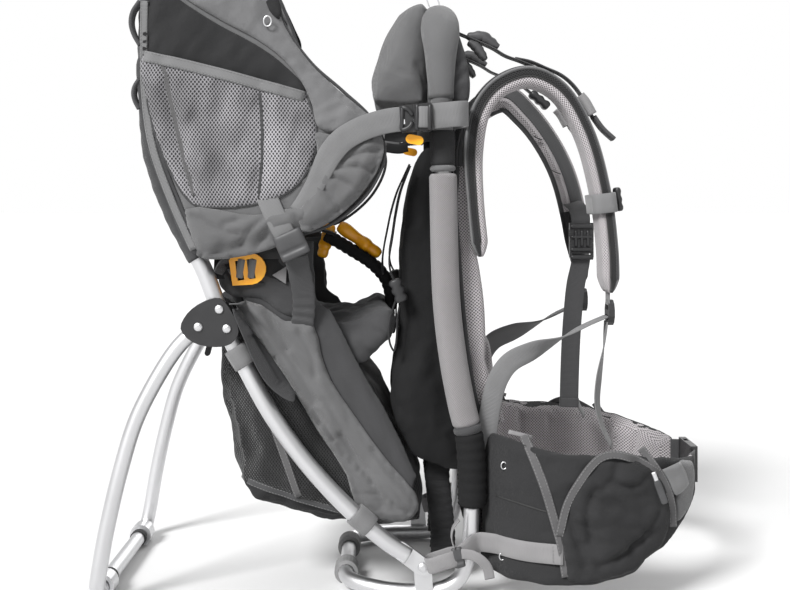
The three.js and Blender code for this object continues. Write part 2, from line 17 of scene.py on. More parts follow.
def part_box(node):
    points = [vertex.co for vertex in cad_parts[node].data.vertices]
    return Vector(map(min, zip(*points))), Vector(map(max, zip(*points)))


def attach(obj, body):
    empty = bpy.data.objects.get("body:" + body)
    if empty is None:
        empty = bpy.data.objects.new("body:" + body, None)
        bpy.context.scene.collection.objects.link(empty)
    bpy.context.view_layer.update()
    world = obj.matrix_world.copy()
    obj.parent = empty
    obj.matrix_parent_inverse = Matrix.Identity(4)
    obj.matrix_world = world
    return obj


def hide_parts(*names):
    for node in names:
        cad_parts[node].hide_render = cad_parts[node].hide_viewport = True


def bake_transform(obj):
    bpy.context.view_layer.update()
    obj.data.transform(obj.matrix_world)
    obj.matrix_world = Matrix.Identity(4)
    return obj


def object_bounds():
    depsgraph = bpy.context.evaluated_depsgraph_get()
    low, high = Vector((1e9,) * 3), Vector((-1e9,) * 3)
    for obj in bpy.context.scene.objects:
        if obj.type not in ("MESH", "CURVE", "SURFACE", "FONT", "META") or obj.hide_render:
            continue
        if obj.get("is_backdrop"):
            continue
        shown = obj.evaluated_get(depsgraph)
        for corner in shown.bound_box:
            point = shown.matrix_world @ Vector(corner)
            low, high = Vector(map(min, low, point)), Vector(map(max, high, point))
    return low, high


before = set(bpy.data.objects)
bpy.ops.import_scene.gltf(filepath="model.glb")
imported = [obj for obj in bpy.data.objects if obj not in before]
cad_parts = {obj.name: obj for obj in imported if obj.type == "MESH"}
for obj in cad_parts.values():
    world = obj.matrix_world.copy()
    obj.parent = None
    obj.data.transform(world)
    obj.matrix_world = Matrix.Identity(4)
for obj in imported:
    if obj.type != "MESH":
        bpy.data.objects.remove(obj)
CAD_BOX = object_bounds()

DATUM_X = -17.0
CAMERA_DISTANCE, CAMERA_HEIGHT = 1500, 475
RAY_START = 400  # well outside the object, where rays towards its sides begin
SEAM_DEPTH, SEAM_WIDTH = 1.1, 1.6
RIGHT, LEFT = -1, 1
SIDES = (("right", RIGHT), ("left", LEFT))


def V(x, y, z):
    """Millimetres from the frame's datum to a point in the row frame."""
    return Vector(((x + DATUM_X) / 1000.0, y / 1000.0, z / 1000.0))


# ---------------------------------------------------------------- camera, light, floor
def build_stage():
    """Camera, white floor, even sky and two soft suns."""
    scene = bpy.context.scene
    camera_data = bpy.data.cameras.new("camera")
    camera = bpy.data.objects.new("camera", camera_data)
    scene.collection.objects.link(camera)
    camera.location = V(0, -CAMERA_DISTANCE, CAMERA_HEIGHT)
    camera.rotation_euler = (math.pi / 2, 0, 0)
    camera_data.sensor_width = 36.0
    camera_data.lens = 52.0
    camera_data.shift_x = 0.0063
    camera_data.shift_y = -0.114
    scene.camera = camera

    floor_mesh = bpy.data.meshes.new("floor")
    span = 60.0
    floor_mesh.from_pydata(
        [(-span, -span, 0), (span, -span, 0), (span, span, 0), (-span, span, 0)], [], [(0, 1, 2, 3)]
    )
    floor = bpy.data.objects.new("floor", floor_mesh)
    scene.collection.objects.link(floor)
    floor.location.z = -0.0006
    look = bpy.data.materials.new("floor_white")
    look.use_nodes = True
    shader = look.node_tree.nodes["Principled BSDF"]
    shader.inputs["Base Color"].default_value = (0.64, 0.64, 0.64, 1)
    shader.inputs["Roughness"].default_value = 0.8
    floor_mesh.materials.append(look)
    floor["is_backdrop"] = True

    world = bpy.data.worlds.new("studio")
    world.use_nodes = True
    tree = world.node_tree
    backdrop = tree.nodes["Background"]
    soft_light = tree.nodes.new("ShaderNodeBackground")
    soft_light.inputs["Strength"].default_value = 0.60
    rays = tree.nodes.new("ShaderNodeLightPath")
    mix = tree.nodes.new("ShaderNodeMixShader")
    tree.links.new(rays.outputs["Is Camera Ray"], mix.inputs[0])
    tree.links.new(soft_light.outputs[0], mix.inputs[1])
    tree.links.new(backdrop.outputs[0], mix.inputs[2])
    tree.links.new(mix.outputs[0], tree.nodes["World Output"].inputs["Surface"])
    for background in (backdrop, soft_light):
        background.inputs["Color"].default_value = (1, 1, 1, 1)
    scene.world = world
    for name, source, spread, power in (
        ("key", (-1.5, -1.9, 2.0), 18, 4.5), ("back", (0.8, 2.0, 1.8), 50, 1.1)
    ):
        light = bpy.data.lights.new(name, "SUN")
        light.angle = math.radians(spread)
        light.energy = power
        lamp = bpy.data.objects.new(name, light)
        scene.collection.objects.link(lamp)
        lamp.rotation_euler = (-Vector(source)).to_track_quat("-Z", "Y").to_euler()
    scene.view_settings.view_transform = "Standard"


# ---------------------------------------------------------------- materials
class Nodes:
    """Short way to build a material's node tree."""

    def __init__(self, name, roughness=0.8, metallic=0.0, sheen=0.0, coat=0.0, specular=0.5):
        self.material = bpy.data.materials.new(name)
        self.material.use_nodes = True
        self.tree = self.material.node_tree
        self.shader = self.tree.nodes["Principled BSDF"]
        self.shader.inputs["Roughness"].default_value = roughness
        self.shader.inputs["Metallic"].default_value = metallic
        self.shader.inputs["Sheen Weight"].default_value = sheen
        self.shader.inputs["Sheen Roughness"].default_value = 0.4
        self.shader.inputs["Coat Weight"].default_value = coat
        self.shader.inputs["Specular IOR Level"].default_value = specular
        coords = self.tree.nodes.new("ShaderNodeTexCoord")
        self.object_coords = coords.outputs["Object"]
        self.uv = coords.outputs["UV"]

    def link(self, a, b):
        self.tree.links.new(a, b)

    def math(self, operation, a, b=0.5, c=0.5):
        node = self.tree.nodes.new("ShaderNodeMath")
        node.operation = operation
        for socket, value in zip(node.inputs, (a, b, c)):
            if isinstance(value, (int, float)):
                socket.default_value = value
            else:
                self.link(value, socket)
        return node.outputs[0]

    def split(self, vector):
        node = self.tree.nodes.new("ShaderNodeSeparateXYZ")
        self.link(vector, node.inputs[0])
        return node.outputs

    def noise(self, scale, detail=3.0, stretch=None, vector=None):
        node = self.tree.nodes.new("ShaderNodeTexNoise")
        node.inputs["Scale"].default_value = scale
        node.inputs["Detail"].default_value = detail
        source = vector or self.object_coords
        if stretch:
            mapping = self.tree.nodes.new("ShaderNodeMapping")
            mapping.inputs["Scale"].default_value = stretch
            self.link(source, mapping.inputs["Vector"])
            source = mapping.outputs[0]
        self.link(source, node.inputs["Vector"])
        return node.outputs["Fac"]

    def ramp(self, value, low, high, low_color, high_color):
        node = self.tree.nodes.new("ShaderNodeValToRGB")
        node.color_ramp.elements[0].position = low
        node.color_ramp.elements[1].position = high
        node.color_ramp.elements[0].color = (*low_color, 1)
        node.color_ramp.elements[1].color = (*high_color, 1)
        self.link(value, node.inputs[0])
        return node.outputs[0]

    def mix(self, factor, a, b):
        node = self.tree.nodes.new("ShaderNodeMix")
        node.data_type = "RGBA"
        self.link(factor, node.inputs["Factor"])
        for socket, value in ((node.inputs[6], a), (node.inputs[7], b)):
            if isinstance(value, tuple):
                socket.default_value = (*value, 1)
            else:
                self.link(value, socket)
        return node.outputs[2]

    def color(self, socket):
        self.link(socket, self.shader.inputs["Base Color"])

    def roughness(self, value, low, high):
        node = self.tree.nodes.new("ShaderNodeMapRange")
        node.inputs["To Min"].default_value = low
        node.inputs["To Max"].default_value = high
        self.link(value, node.inputs["Value"])
        self.link(node.outputs[0], self.shader.inputs["Roughness"])

    def bump(self, *layers):
        """Each layer is (height, distance in metres)."""
        normal = None
        for height, distance in layers:
            node = self.tree.nodes.new("ShaderNodeBump")
            node.inputs["Strength"].default_value = 1.0
            node.inputs["Distance"].default_value = distance
            self.link(height, node.inputs["Height"])
            if normal:
                self.link(normal, node.inputs["Normal"])
            normal = node.outputs[0]
        self.link(normal, self.shader.inputs["Normal"])

    def wave(self, coordinate, pitch):
        """0 to 1 ripple along a coordinate in metres."""
        ripple = self.math("SINE", self.math("MULTIPLY", coordinate, 2 * math.pi / pitch))
        return self.math("MULTIPLY_ADD", ripple, 0.5, 0.5)


def shade(color, factor):
    """A colour made darker or lighter by a factor."""
    return tuple(min(1.0, c * factor) for c in color)


EXPOSURE = 0.92     # cloth colours below are as they show; the lamps are brighter than one


def fabric(
    name, color, pitch=0.0009, slubs=0.12, roughness=0.86, sheen=0.25, depth=0.00025, crease=0.0006,
    specular=0.3
):
    """Coated plain weave: fine crossing threads, soft creases and slightly uneven dye."""
    color = shade(color, EXPOSURE)
    n = Nodes(name, roughness, sheen=sheen, specular=specular)
    x, y, z = n.split(n.object_coords)
    drift = n.math("MULTIPLY", n.noise(160, 2), 0.004)
    a = n.math("ADD", n.math("ADD", x, y), drift)
    b = n.math("SUBTRACT", n.math("ADD", z, n.math("MULTIPLY", n.math("SUBTRACT", x, y), 0.5)), drift)
    weave = n.math("MULTIPLY", n.wave(a, pitch), n.wave(b, pitch))
    patches = n.noise(26, 5)
    threads = n.noise(900, 2)
    dye = n.mix(patches, shade(color, 1 - slubs), shade(color, 1 + slubs))
    n.color(n.mix(n.math("MULTIPLY", threads, 0.35), dye, shade(color, 0.62)))
    n.roughness(patches, roughness - 0.1, min(1.0, roughness + 0.08))
    n.bump((n.noise(38, 4), crease * 2.2), (n.noise(110, 3), crease * 0.5), (weave, depth))
    return n.material


def spacer_mesh(name, light, dark, pitch=0.0042, angle_mix=1.0, hole=0.55):
    """Air mesh: rows of small holes on a diagonal grid, pinkish light thread over a darker back."""
    light, dark = shade(light, EXPOSURE), shade(dark, EXPOSURE)
    n = Nodes(name, 0.95, sheen=0.3, specular=0.15)
    u, v, _ = n.split(n.uv)
    a = n.math("ADD", u, n.math("MULTIPLY", v, angle_mix))
    b = n.math("SUBTRACT", u, n.math("MULTIPLY", v, angle_mix))
    cells = n.math("MULTIPLY", n.wave(a, pitch), n.wave(b, pitch))
    patches = n.noise(30, 3)
    thread = n.mix(patches, shade(light, 0.9), shade(light, 1.12))
    holes = n.math("SMOOTH_MIN", n.math("MULTIPLY", cells, 1.0 / hole), 1.0, 0.15)
    n.color(n.mix(holes, thread, dark))
    n.bump((n.noise(40, 3), 0.0008), (n.math("SUBTRACT", 1.0, cells), 0.0011))
    return n.material


def pocket_net(name, thread, hole, pitch=0.0062):
    """Coarse stretch net: pale twisted threads around dark diamond holes, darkened in broad blotches of
    painted shade where the net crumples.
    """
    thread, hole = shade(thread, EXPOSURE), shade(hole, EXPOSURE)
    n = Nodes(name, 0.8, sheen=0.2, specular=0.3)
    u, v, _ = n.split(n.uv)
    warp = n.math("MULTIPLY", n.math("SUBTRACT", n.noise(14, 2), 0.5), 0.010)
    u = n.math("ADD", u, warp)
    a = n.math("ADD", u, n.math("MULTIPLY", v, 0.75))
    b = n.math("SUBTRACT", u, n.math("MULTIPLY", v, 0.75))
    cells = n.math("MULTIPLY", n.wave(a, pitch), n.wave(b, pitch))
    edge = n.ramp(cells, 0.16, 0.27, (0, 0, 0), (1, 1, 1))
    # patches: broad blotches of painted shade that stand in for the net's crumples, darkening threads and
    # holes alike
    patches = n.ramp(n.noise(11, 2), 0.34, 0.62, (0, 0, 0), (1, 1, 1))
    n.color(
        n.mix(
            edge, n.mix(patches, shade(thread, 0.52), shade(thread, 1.15)),
            n.mix(patches, shade(hole, 0.5), hole)
        )
    )
    n.bump((n.math("SUBTRACT", 1.0, cells), 0.0016), (n.noise(700, 2), 0.0002))
    return n.material


def webbing_look(name, color, rib=0.0016, roughness=0.72):
    """Woven strap: fine ribs across, a tighter selvedge along both edges."""
    color = shade(color, EXPOSURE)
    n = Nodes(name, roughness, sheen=0.2, specular=0.35)
    u, v, _ = n.split(n.uv)
    ribs = n.wave(u, rib)
    herring = n.math(
        "MULTIPLY", n.wave(n.math("ADD", u, v), 0.0021), n.wave(n.math("SUBTRACT", u, v), 0.0021)
    )
    patches = n.noise(45, 4)
    n.color(
        n.mix(
            n.math("MULTIPLY", herring, 0.5), n.mix(patches, shade(color, 0.86), shade(color, 1.14)),
            shade(color, 0.6)
        )
    )
    n.roughness(patches, roughness - 0.08, roughness + 0.1)
    n.bump((ribs, 0.00022), (herring, 0.00016), (n.noise(60, 3), 0.0004))
    return n.material


def plastic(name, color, roughness=0.42, grain=0.00006, coat=0.0):
    """Moulded plastic: fine spark-eroded grain and handling scuffs."""
    n = Nodes(name, roughness, coat=coat, specular=0.5)
    scuffs = n.noise(65, 6)
    n.color(n.ramp(scuffs, 0.35, 0.75, shade(color, 0.9), shade(color, 1.18)))
    n.roughness(n.noise(160, 5), roughness - 0.1, roughness + 0.14)
    n.bump((n.noise(2600, 2), grain), (n.noise(110, 3), 0.00012))
    return n.material


def tube_metal(name, color=(0.70, 0.70, 0.71)):
    """Satin anodised aluminium: faint drawn lines, hazy patches and light scratches."""
    n = Nodes(name, 0.3, metallic=1.0)
    haze = n.noise(9, 4)
    fine = n.noise(420, 3)
    scratches = n.noise(60, 8, stretch=(0.4, 4.0, 0.4))
    n.color(n.mix(haze, shade(color, 0.92), shade(color, 1.08)))
    n.roughness(n.math("MULTIPLY_ADD", scratches, 0.5, n.math("MULTIPLY", haze, 0.5)), 0.3, 0.52)
    n.bump((fine, 0.00003), (scratches, 0.00006))
    return n.material


MATERIALS = {}


def build_materials():
    """Every look used below, by a short name."""
    m = MATERIALS
    m["grey"] = fabric("grey_fabric", (0.142, 0.142, 0.144))
    m["grey_light"] = fabric("grey_fabric_light", (0.175, 0.175, 0.178))
    m["dark"] = fabric("dark_fabric", (0.034, 0.034, 0.035), sheen=0.06, specular=0.12, crease=0.0009)
    m["mid"] = fabric("mid_fabric", (0.060, 0.060, 0.062), sheen=0.15)
    m["black"] = fabric(
        "black_fabric", (0.018, 0.018, 0.0185), roughness=0.8, sheen=0.02, depth=0.0002, specular=0.08
    )
    m["luggage_net"] = pocket_net(
        "luggage_net", (0.032, 0.032, 0.033), (0.008, 0.008, 0.008), pitch=0.0036
    )
    m["net"] = pocket_net("pocket_net", (0.35, 0.342, 0.358), (0.060, 0.060, 0.063), pitch=0.0042)
    m["air"] = spacer_mesh(
        "air_mesh", (0.52, 0.492, 0.503), (0.135, 0.125, 0.13), pitch=0.0040, hole=0.42
    )
    m["air_grey"] = spacer_mesh("air_mesh_grey", (0.36, 0.345, 0.35), (0.085, 0.083, 0.085), pitch=0.0052)
    m["sleeve"] = spacer_mesh("sleeve_mesh", (0.30, 0.288, 0.292), (0.215, 0.205, 0.208), pitch=0.0026)
    m["web_grey"] = webbing_look("webbing_grey", (0.185, 0.185, 0.187))
    m["web_light"] = webbing_look("webbing_light", (0.25, 0.245, 0.248))
    m["web_dark"] = webbing_look("webbing_dark", (0.06, 0.06, 0.062))
    m["web_black"] = webbing_look("webbing_black", (0.014, 0.014, 0.015))
    m["strap_face"] = spacer_mesh(
        "strap_face_mesh", (0.036, 0.036, 0.037), (0.016, 0.016, 0.016), pitch=0.0034
    )
    m["binding"] = webbing_look("binding_tape", (0.105, 0.103, 0.105), rib=0.0012)
    m["thread"] = plastic("thread", (0.2, 0.2, 0.2), roughness=0.7)
    m["thread_dark"] = plastic("thread_dark", (0.02, 0.02, 0.02), roughness=0.7)
    m["alu"] = tube_metal("aluminium_tube")
    m["alu_matte"] = tube_metal("aluminium_matte", (0.42, 0.42, 0.42))
    m["steel"] = tube_metal("rivet_steel", (0.7, 0.7, 0.71))
    m["plastic"] = plastic("black_plastic", (0.02, 0.02, 0.021))
    m["grey_plastic"] = plastic("grey_plastic", (0.05, 0.05, 0.052), roughness=0.5)
    m["grey_rubber"] = plastic("grey_rubber", (0.2, 0.2, 0.2), roughness=0.7, grain=0.0001)
    m["rubber"] = plastic("foot_rubber", (0.018, 0.018, 0.019), roughness=0.72, grain=0.0001)
    m["orange"] = plastic("orange_plastic", (1.0, 0.40, 0.010), roughness=0.34, coat=0.25)
    m["cord"] = webbing_look("cord_black", (0.014, 0.014, 0.015), rib=0.0018)
    m["bungee"] = braid("bungee_braid")


def braid(name):
    """Round elastic cord with white flecks in a black braid."""
    n = Nodes(name, 0.6, sheen=0.1)
    u, v, _ = n.split(n.uv)
    a = n.wave(n.math("ADD", u, v), 0.0052)
    b = n.wave(n.math("SUBTRACT", u, v), 0.0052)
    flecks = n.math("MULTIPLY", a, b)
    n.color(n.ramp(flecks, 0.42, 0.55, (0.02, 0.02, 0.02), (0.75, 0.75, 0.74)))
    n.bump((flecks, 0.0004))
    return n.material


# ---------------------------------------------------------------- mesh helpers
def place(name, mesh):
    """A new object in the scene that shows a mesh."""
    piece = bpy.data.objects.new(name, mesh)
    bpy.context.scene.collection.objects.link(piece)
    return piece


def run_along(path):
    """Length of a path from its start to each of its points."""
    return np.concatenate([[0], np.cumsum(np.linalg.norm(np.diff(path, axis=0), axis=1))])


def looped(points):
    """Points with the first one again at the end."""
    return np.vstack([points, points[:1]])


def turn_angles(count):
    """Evenly spaced angles once round, in radians."""
    return np.linspace(0, 2 * math.pi, count + 1)[:-1]


def finish_mesh(name, verts, faces, material, uvs=None, smooth=True, body="frame"):
    """A mesh object with its look and UVs, riding on a body."""
    mesh = bpy.data.meshes.new(name)
    mesh.from_pydata([tuple(v) for v in verts], [], faces)
    if uvs is not None:
        layer = mesh.uv_layers.new(name="UVMap")
        loops = np.zeros(len(mesh.loops), dtype=np.int32)
        mesh.loops.foreach_get("vertex_index", loops)
        flat = np.asarray(uvs, dtype=np.float32)[loops]
        layer.data.foreach_set("uv", flat.ravel())
    bm = bmesh.new()
    bm.from_mesh(mesh)
    bmesh.ops.recalc_face_normals(bm, faces=bm.faces)
    bm.to_mesh(mesh)
    bm.free()
    if smooth:
        mesh.polygons.foreach_set("use_smooth", [True] * len(mesh.polygons))
    mesh.materials.append(MATERIALS[material])
    piece = place(name, mesh)
    if body:
        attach(piece, body)
    return piece


def spline(points, steps=8, closed=False):
    """Centripetal Catmull-Rom through points of any dimension, as an array."""
    p = np.array([list(q) for q in points], float)
    if closed:
        p = np.vstack([p[-1], p, p[0], p[1]])
    else:
        p = np.vstack([2 * p[0] - p[1], p, 2 * p[-1] - p[-2]])
    out = []
    for i in range(1, len(p) - 2):
        p0, p1, p2, p3 = p[i - 1], p[i], p[i + 1], p[i + 2]
        t1 = max(np.linalg.norm(p1 - p0), 1e-9) ** 0.5
        t2 = t1 + max(np.linalg.norm(p2 - p1), 1e-9) ** 0.5
        t3 = t2 + max(np.linalg.norm(p3 - p2), 1e-9) ** 0.5
        for k in range(steps):
            t = t1 + (t2 - t1) * k / steps
            a1 = (t1 - t) / t1 * p0 + t / t1 * p1
            a2 = (t2 - t) / (t2 - t1) * p1 + (t - t1) / (t2 - t1) * p2
            a3 = (t3 - t) / (t3 - t2) * p2 + (t - t2) / (t3 - t2) * p3
            b1 = (t2 - t) / t2 * a1 + t / t2 * a2
            b2 = (t3 - t) / (t3 - t1) * a2 + (t - t1) / (t3 - t1) * a3
            out.append((t2 - t) / (t2 - t1) * b1 + (t - t1) / (t2 - t1) * b2)
    if not closed:
        out.append(p[-2])
    return np.array(out)


def resample(points, pitch):
    """Evenly spaced points along a polyline."""
    p = np.array([list(q) for q in points], float)
    lengths = run_along(p)
    count = max(2, int(round(lengths[-1] / pitch)) + 1)
    at = np.linspace(0, lengths[-1], count)
    return np.stack([np.interp(at, lengths, p[:, k]) for k in range(p.shape[1])], axis=1)


def tangents(path):
    """Unit direction of a path at each of its points."""
    t = np.gradient(path, axis=0)
    return t / np.maximum(np.linalg.norm(t, axis=1, keepdims=True), 1e-12)


def sweep(
    name, path, section, material, side=(0, 1, 0), scale=None, closed=False, body="frame", cap=True
):
    """A section of (across, out) points carried along a path in metres.

    side is the across direction, one vector or one for each path point. scale(t) gives (across, out) factors.
    """
    path = np.array([list(p) for p in path], float)
    count, around = len(path), len(section)
    along = tangents(path)
    if closed:
        ends = path[1] - path[-2]
        along[0] = along[-1] = ends / np.linalg.norm(ends)
    side = np.array(side, float)
    if side.ndim == 1:
        side = np.tile(side, (count, 1))
    side = side - (side * along).sum(axis=1, keepdims=True) * along
    side /= np.maximum(np.linalg.norm(side, axis=1, keepdims=True), 1e-9)
    out = np.cross(along, side)
    run = run_along(path)
    ring = np.array(section, float)
    girth = run_along(looped(ring))[:-1]
    verts, uvs, faces = [], [], []
    for i in range(count):
        t = i / (count - 1)
        sa, so = scale(t) if scale else (1.0, 1.0)
        for (a, o), g in zip(ring, girth):
            verts.append(path[i] + side[i] * a * sa + out[i] * o * so)
            uvs.append((run[i], g))
    rings = count - 1 if closed else count
    if closed:
        verts, uvs = verts[: rings * around], uvs[: rings * around]
    for i in range(rings if closed else rings - 1):
        j = (i + 1) % rings
        for k in range(around):
            m = (k + 1) % around
            faces.append((i * around + k, i * around + m, j * around + m, j * around + k))
    if cap and not closed:
        faces.append(tuple(range(around - 1, -1, -1)))
        faces.append(tuple((rings - 1) * around + k for k in range(around)))
    return finish_mesh(name, verts, faces, material, uvs, body=body)


def round_section(radius, sides=24):
    """A circle of (across, out) points, with its radius in metres."""
    return [
        (radius * math.cos(2 * math.pi * i / sides), radius * math.sin(2 * math.pi * i / sides))
        for i in range(sides)
    ]


def flat_section(width, thickness, lip=0.3):
    """A strap's section: flat, with rounded edges."""
    w, t = width / 2, thickness / 2
    e = min(w * 0.3, thickness * lip + 0.0004)
    top = [(w - e, t), (w * 0.4, t), (-w * 0.4, t), (e - w, t)]
    bottom = [(e - w, -t), (-w * 0.4, -t), (w * 0.4, -t), (w - e, -t)]
    return [(w, t * 0.35)] + top + [(-w, t * 0.35), (-w, -t * 0.35)] + bottom + [(w, -t * 0.35)]


def strap(name, points, width, material="web_grey", side=(0, 1, 0), thickness=1.8, body="frame", steps=8):
    """Webbing through points in millimetres; side may be one direction or one for each point."""
    path = spline([V(*p) for p in points], steps)
    side = across_along(path, side)
    return sweep(name, path, flat_section(width / 1000, thickness / 1000), material, side, body=body)


def across_along(path, side):
    """Across directions: "flat" (in the XZ plane), one vector, or {fraction of the length: either}."""
    if isinstance(side, dict):
        run = run_along(path)
        t = run / run[-1]
        keys = sorted(side)
        fields = [across_along(path, side[k]) for k in keys]
        out = np.zeros((len(path), 3))
        for i, at in enumerate(t):
            weights = np.interp(at, keys, range(len(keys)))
            low = min(int(weights), len(keys) - 2)
            f = ramp01(weights - low, 0, 1)
            out[i] = fields[low][i] * (1 - f) + fields[low + 1][i] * f
        return out
    if isinstance(side, str):
        return flatways(path, 1)
    return np.tile(np.array(side, float), (len(path), 1))


def cord(name, points, diameter, material="cord", body="frame", steps=6, side=(0, 1, 0), closed=False):
    """Round cord through points; the points and the diameter are in millimetres."""
    path = spline([V(*p) for p in points], steps, closed)
    if closed:
        path = looped(path)
    return sweep(name, path, round_section(diameter / 2000, 10), material, side, body=body, closed=closed)


def stitches(
    name, path, material="thread", length=2.6, gap=1.4, width=0.7, body="frame", lift=(0, -1, 0)
):
    """A row of thread stitches along a path in metres, as one mesh."""
    path = resample(path, (length + gap) / 1000)
    lift = np.array(lift, float)
    verts, faces = [], []
    for a, b in zip(path[:-1], path[1:]):
        along = (b - a) / max(np.linalg.norm(b - a), 1e-9)
        across = np.cross(along, lift)
        norm = np.linalg.norm(across)
        if norm < 1e-6:
            continue
        across /= norm
        up = np.cross(across, along)
        start, w = len(verts), width / 2000
        for t, s, h in ((0, 0.5, 0), (0.15, 1, 1), (0.5, 1, 1.3), (0.85, 1, 1), (1, 0.5, 0)):
            centre = a + along * (length / 1000) * t
            for o, u in ((-1, 0.2), (-0.6, 0.9), (0.6, 0.9), (1, 0.2), (0, -0.6)):
                verts.append(centre + across * o * w * s + up * (u * w * s + h * w * 0.4))
        for i in range(4):
            for k in range(5):
                m = (k + 1) % 5
                faces.append(
                    (
                        start + i * 5 + k, start + i * 5 + m, start + (i + 1) * 5 + m,
                        start + (i + 1) * 5 + k
                    )
                )
        faces.append(tuple(start + k for k in range(4, -1, -1)))
        faces.append(tuple(start + 20 + k for k in range(5)))
    return finish_mesh(name, verts, faces, material, body=body)


def edge_distance(points, loop):
    """Distance from each 2-D point to a closed loop or open line of points."""
    a, b = loop[:-1], loop[1:]
    d = b - a
    length2 = np.maximum((d * d).sum(axis=1), 1e-12)
    best = np.full(len(points), 1e9)
    for start, vector, l2 in zip(a, d, length2):
        t = np.clip(((points - start) @ vector) / l2, 0, 1)
        nearest = start + t[:, None] * vector
        best = np.minimum(best, np.linalg.norm(points - nearest, axis=1))
    return best


def inside(points, loop):
    """Which 2-D points lie inside a closed loop."""
    x, y = points[:, 0], points[:, 1]
    result = np.zeros(len(points), bool)
    for (x1, y1), (x2, y2) in zip(loop[:-1], loop[1:]):
        crosses = (y1 > y) != (y2 > y)
        at = x1 + (y - y1) * (x2 - x1) / (y2 - y1 if abs(y2 - y1) > 1e-12 else 1e-12)
        result ^= crosses & (x < at)
    return result


def triangulate(outline, pitch):
    """Even triangles inside a closed outline. Returns 2-D points, triangles and the closed rim."""
    loop = resample(looped(outline), pitch)[:-1]
    closed = looped(loop)
    low, high = loop.min(axis=0), loop.max(axis=0)
    rows = np.arange(low[1], high[1], pitch * 0.866)
    grid = []
    for i, y in enumerate(rows):
        xs = np.arange(low[0] + (pitch / 2 if i % 2 else 0), high[0], pitch)
        grid.append(np.stack([xs, np.full(len(xs), y)], axis=1))
    grid = np.vstack(grid)
    grid = grid[inside(grid, closed)]
    grid = grid[edge_distance(grid, closed) > pitch * 0.6]
    points = [Vector(p) for p in np.vstack([loop, grid])]
    result = delaunay_2d_cdt(points, [], [list(range(len(loop)))], 1, 1e-6)
    return np.array([list(p) for p in result[0]]), [tuple(f) for f in result[2]], closed


def crown(distance, width):
    """0 at an edge, rising to 1 over a width, round like a stuffed seam."""
    t = np.clip(distance / width, 0, 1)
    return np.sqrt(1 - (1 - t) ** 2)


def folds(points, scale, stretch=(1, 1), angle=0.0, seed=0.0, detail=3):
    """Soft random folds from -1 to 1, stretched along an angle in degrees."""
    c, s = math.cos(math.radians(angle)), math.sin(math.radians(angle))
    out = []
    for x, y in points:
        u, v = (x * c + y * s) / (scale * stretch[0]), (-x * s + y * c) / (scale * stretch[1])
        out.append(noise.fractal(Vector((u, v, seed)), 1.0, 2.0, detail) * 2.4)
    return np.clip(np.array(out), -1, 1)


def puckered(lines, deep, wide, amount, scale, stretch, angle, seed):
    """Soft folds with sharp pulls along lines of (x, z); amount and deep are heights in millimetres."""
    lines = [spline(line, 6) for line in lines]

    def wrinkle(points):
        value = amount * folds(points, scale, stretch=stretch, angle=angle, seed=seed)
        for line in lines:
            value = value - deep * np.exp(-(edge_distance(points, line) / wide) ** 2)
        return value
    return wrinkle


def box_uvs(mesh):
    """UVs in metres, each face laid flat along its main direction."""
    layer = mesh.uv_layers.get("UVMap") or mesh.uv_layers.new(name="UVMap")
    count = len(mesh.loops)
    at = np.zeros(count, dtype=np.int32)
    mesh.loops.foreach_get("vertex_index", at)
    co = np.zeros(len(mesh.vertices) * 3)
    mesh.vertices.foreach_get("co", co)
    co = co.reshape(-1, 3)[at]
    normal = np.zeros(len(mesh.polygons) * 3)
    mesh.polygons.foreach_get("normal", normal)
    corners = np.zeros(len(mesh.polygons), dtype=np.int32)
    mesh.polygons.foreach_get("loop_total", corners)
    main = np.repeat(np.abs(normal.reshape(-1, 3)).argmax(axis=1), corners)
    across = np.where(main == 0, co[:, 1], co[:, 0])
    up = np.where(main == 2, co[:, 1], co[:, 2])
    layer.data.foreach_set("uv", np.stack([across, up], axis=1).ravel())


def bake(piece):
    """Writes a piece's modifiers into its mesh."""
    evaluated = piece.evaluated_get(bpy.context.evaluated_depsgraph_get())
    old, mesh = piece.data, bpy.data.meshes.new_from_object(evaluated)
    piece.modifiers.clear()
    piece.data = mesh
    bpy.data.meshes.remove(old)


def coordinates(mesh, what="co"):
    """A mesh's vertex positions or normals as an array."""
    flat = np.zeros(len(mesh.vertices) * 3)
    mesh.vertices.foreach_get(what, flat)
    return flat.reshape(-1, 3)


def move_to(mesh, points):
    """Puts a mesh's vertices at new points."""
    mesh.vertices.foreach_set("co", points.ravel())
    mesh.update()


def swell(piece, pressure, cap, frames=16):
    """Cloth simulation: the skin swells under pressure, and no point moves more than cap millimetres."""
    rest = coordinates(piece.data)
    cloth = piece.modifiers.new("cloth", "CLOTH")
    settings = cloth.settings
    settings.quality = 4
    settings.mass = 0.3
    settings.use_pressure = True
    settings.uniform_pressure_force = pressure
    settings.effector_weights.gravity = 0
    cloth.collision_settings.use_collision = False
    cloth.point_cache.frame_start = 1
    cloth.point_cache.frame_end = frames
    scene = bpy.context.scene
    for number in range(1, frames + 1):
        scene.frame_set(number)
    evaluated = piece.evaluated_get(bpy.context.evaluated_depsgraph_get())
    step = coordinates(evaluated.data) - rest
    piece.modifiers.remove(cloth)
    scene.frame_set(1)
    size = np.linalg.norm(step, axis=1, keepdims=True)
    step *= np.minimum(1.0, cap / 1000 / np.maximum(size, 1e-9))
    move_to(piece.data, rest + step)


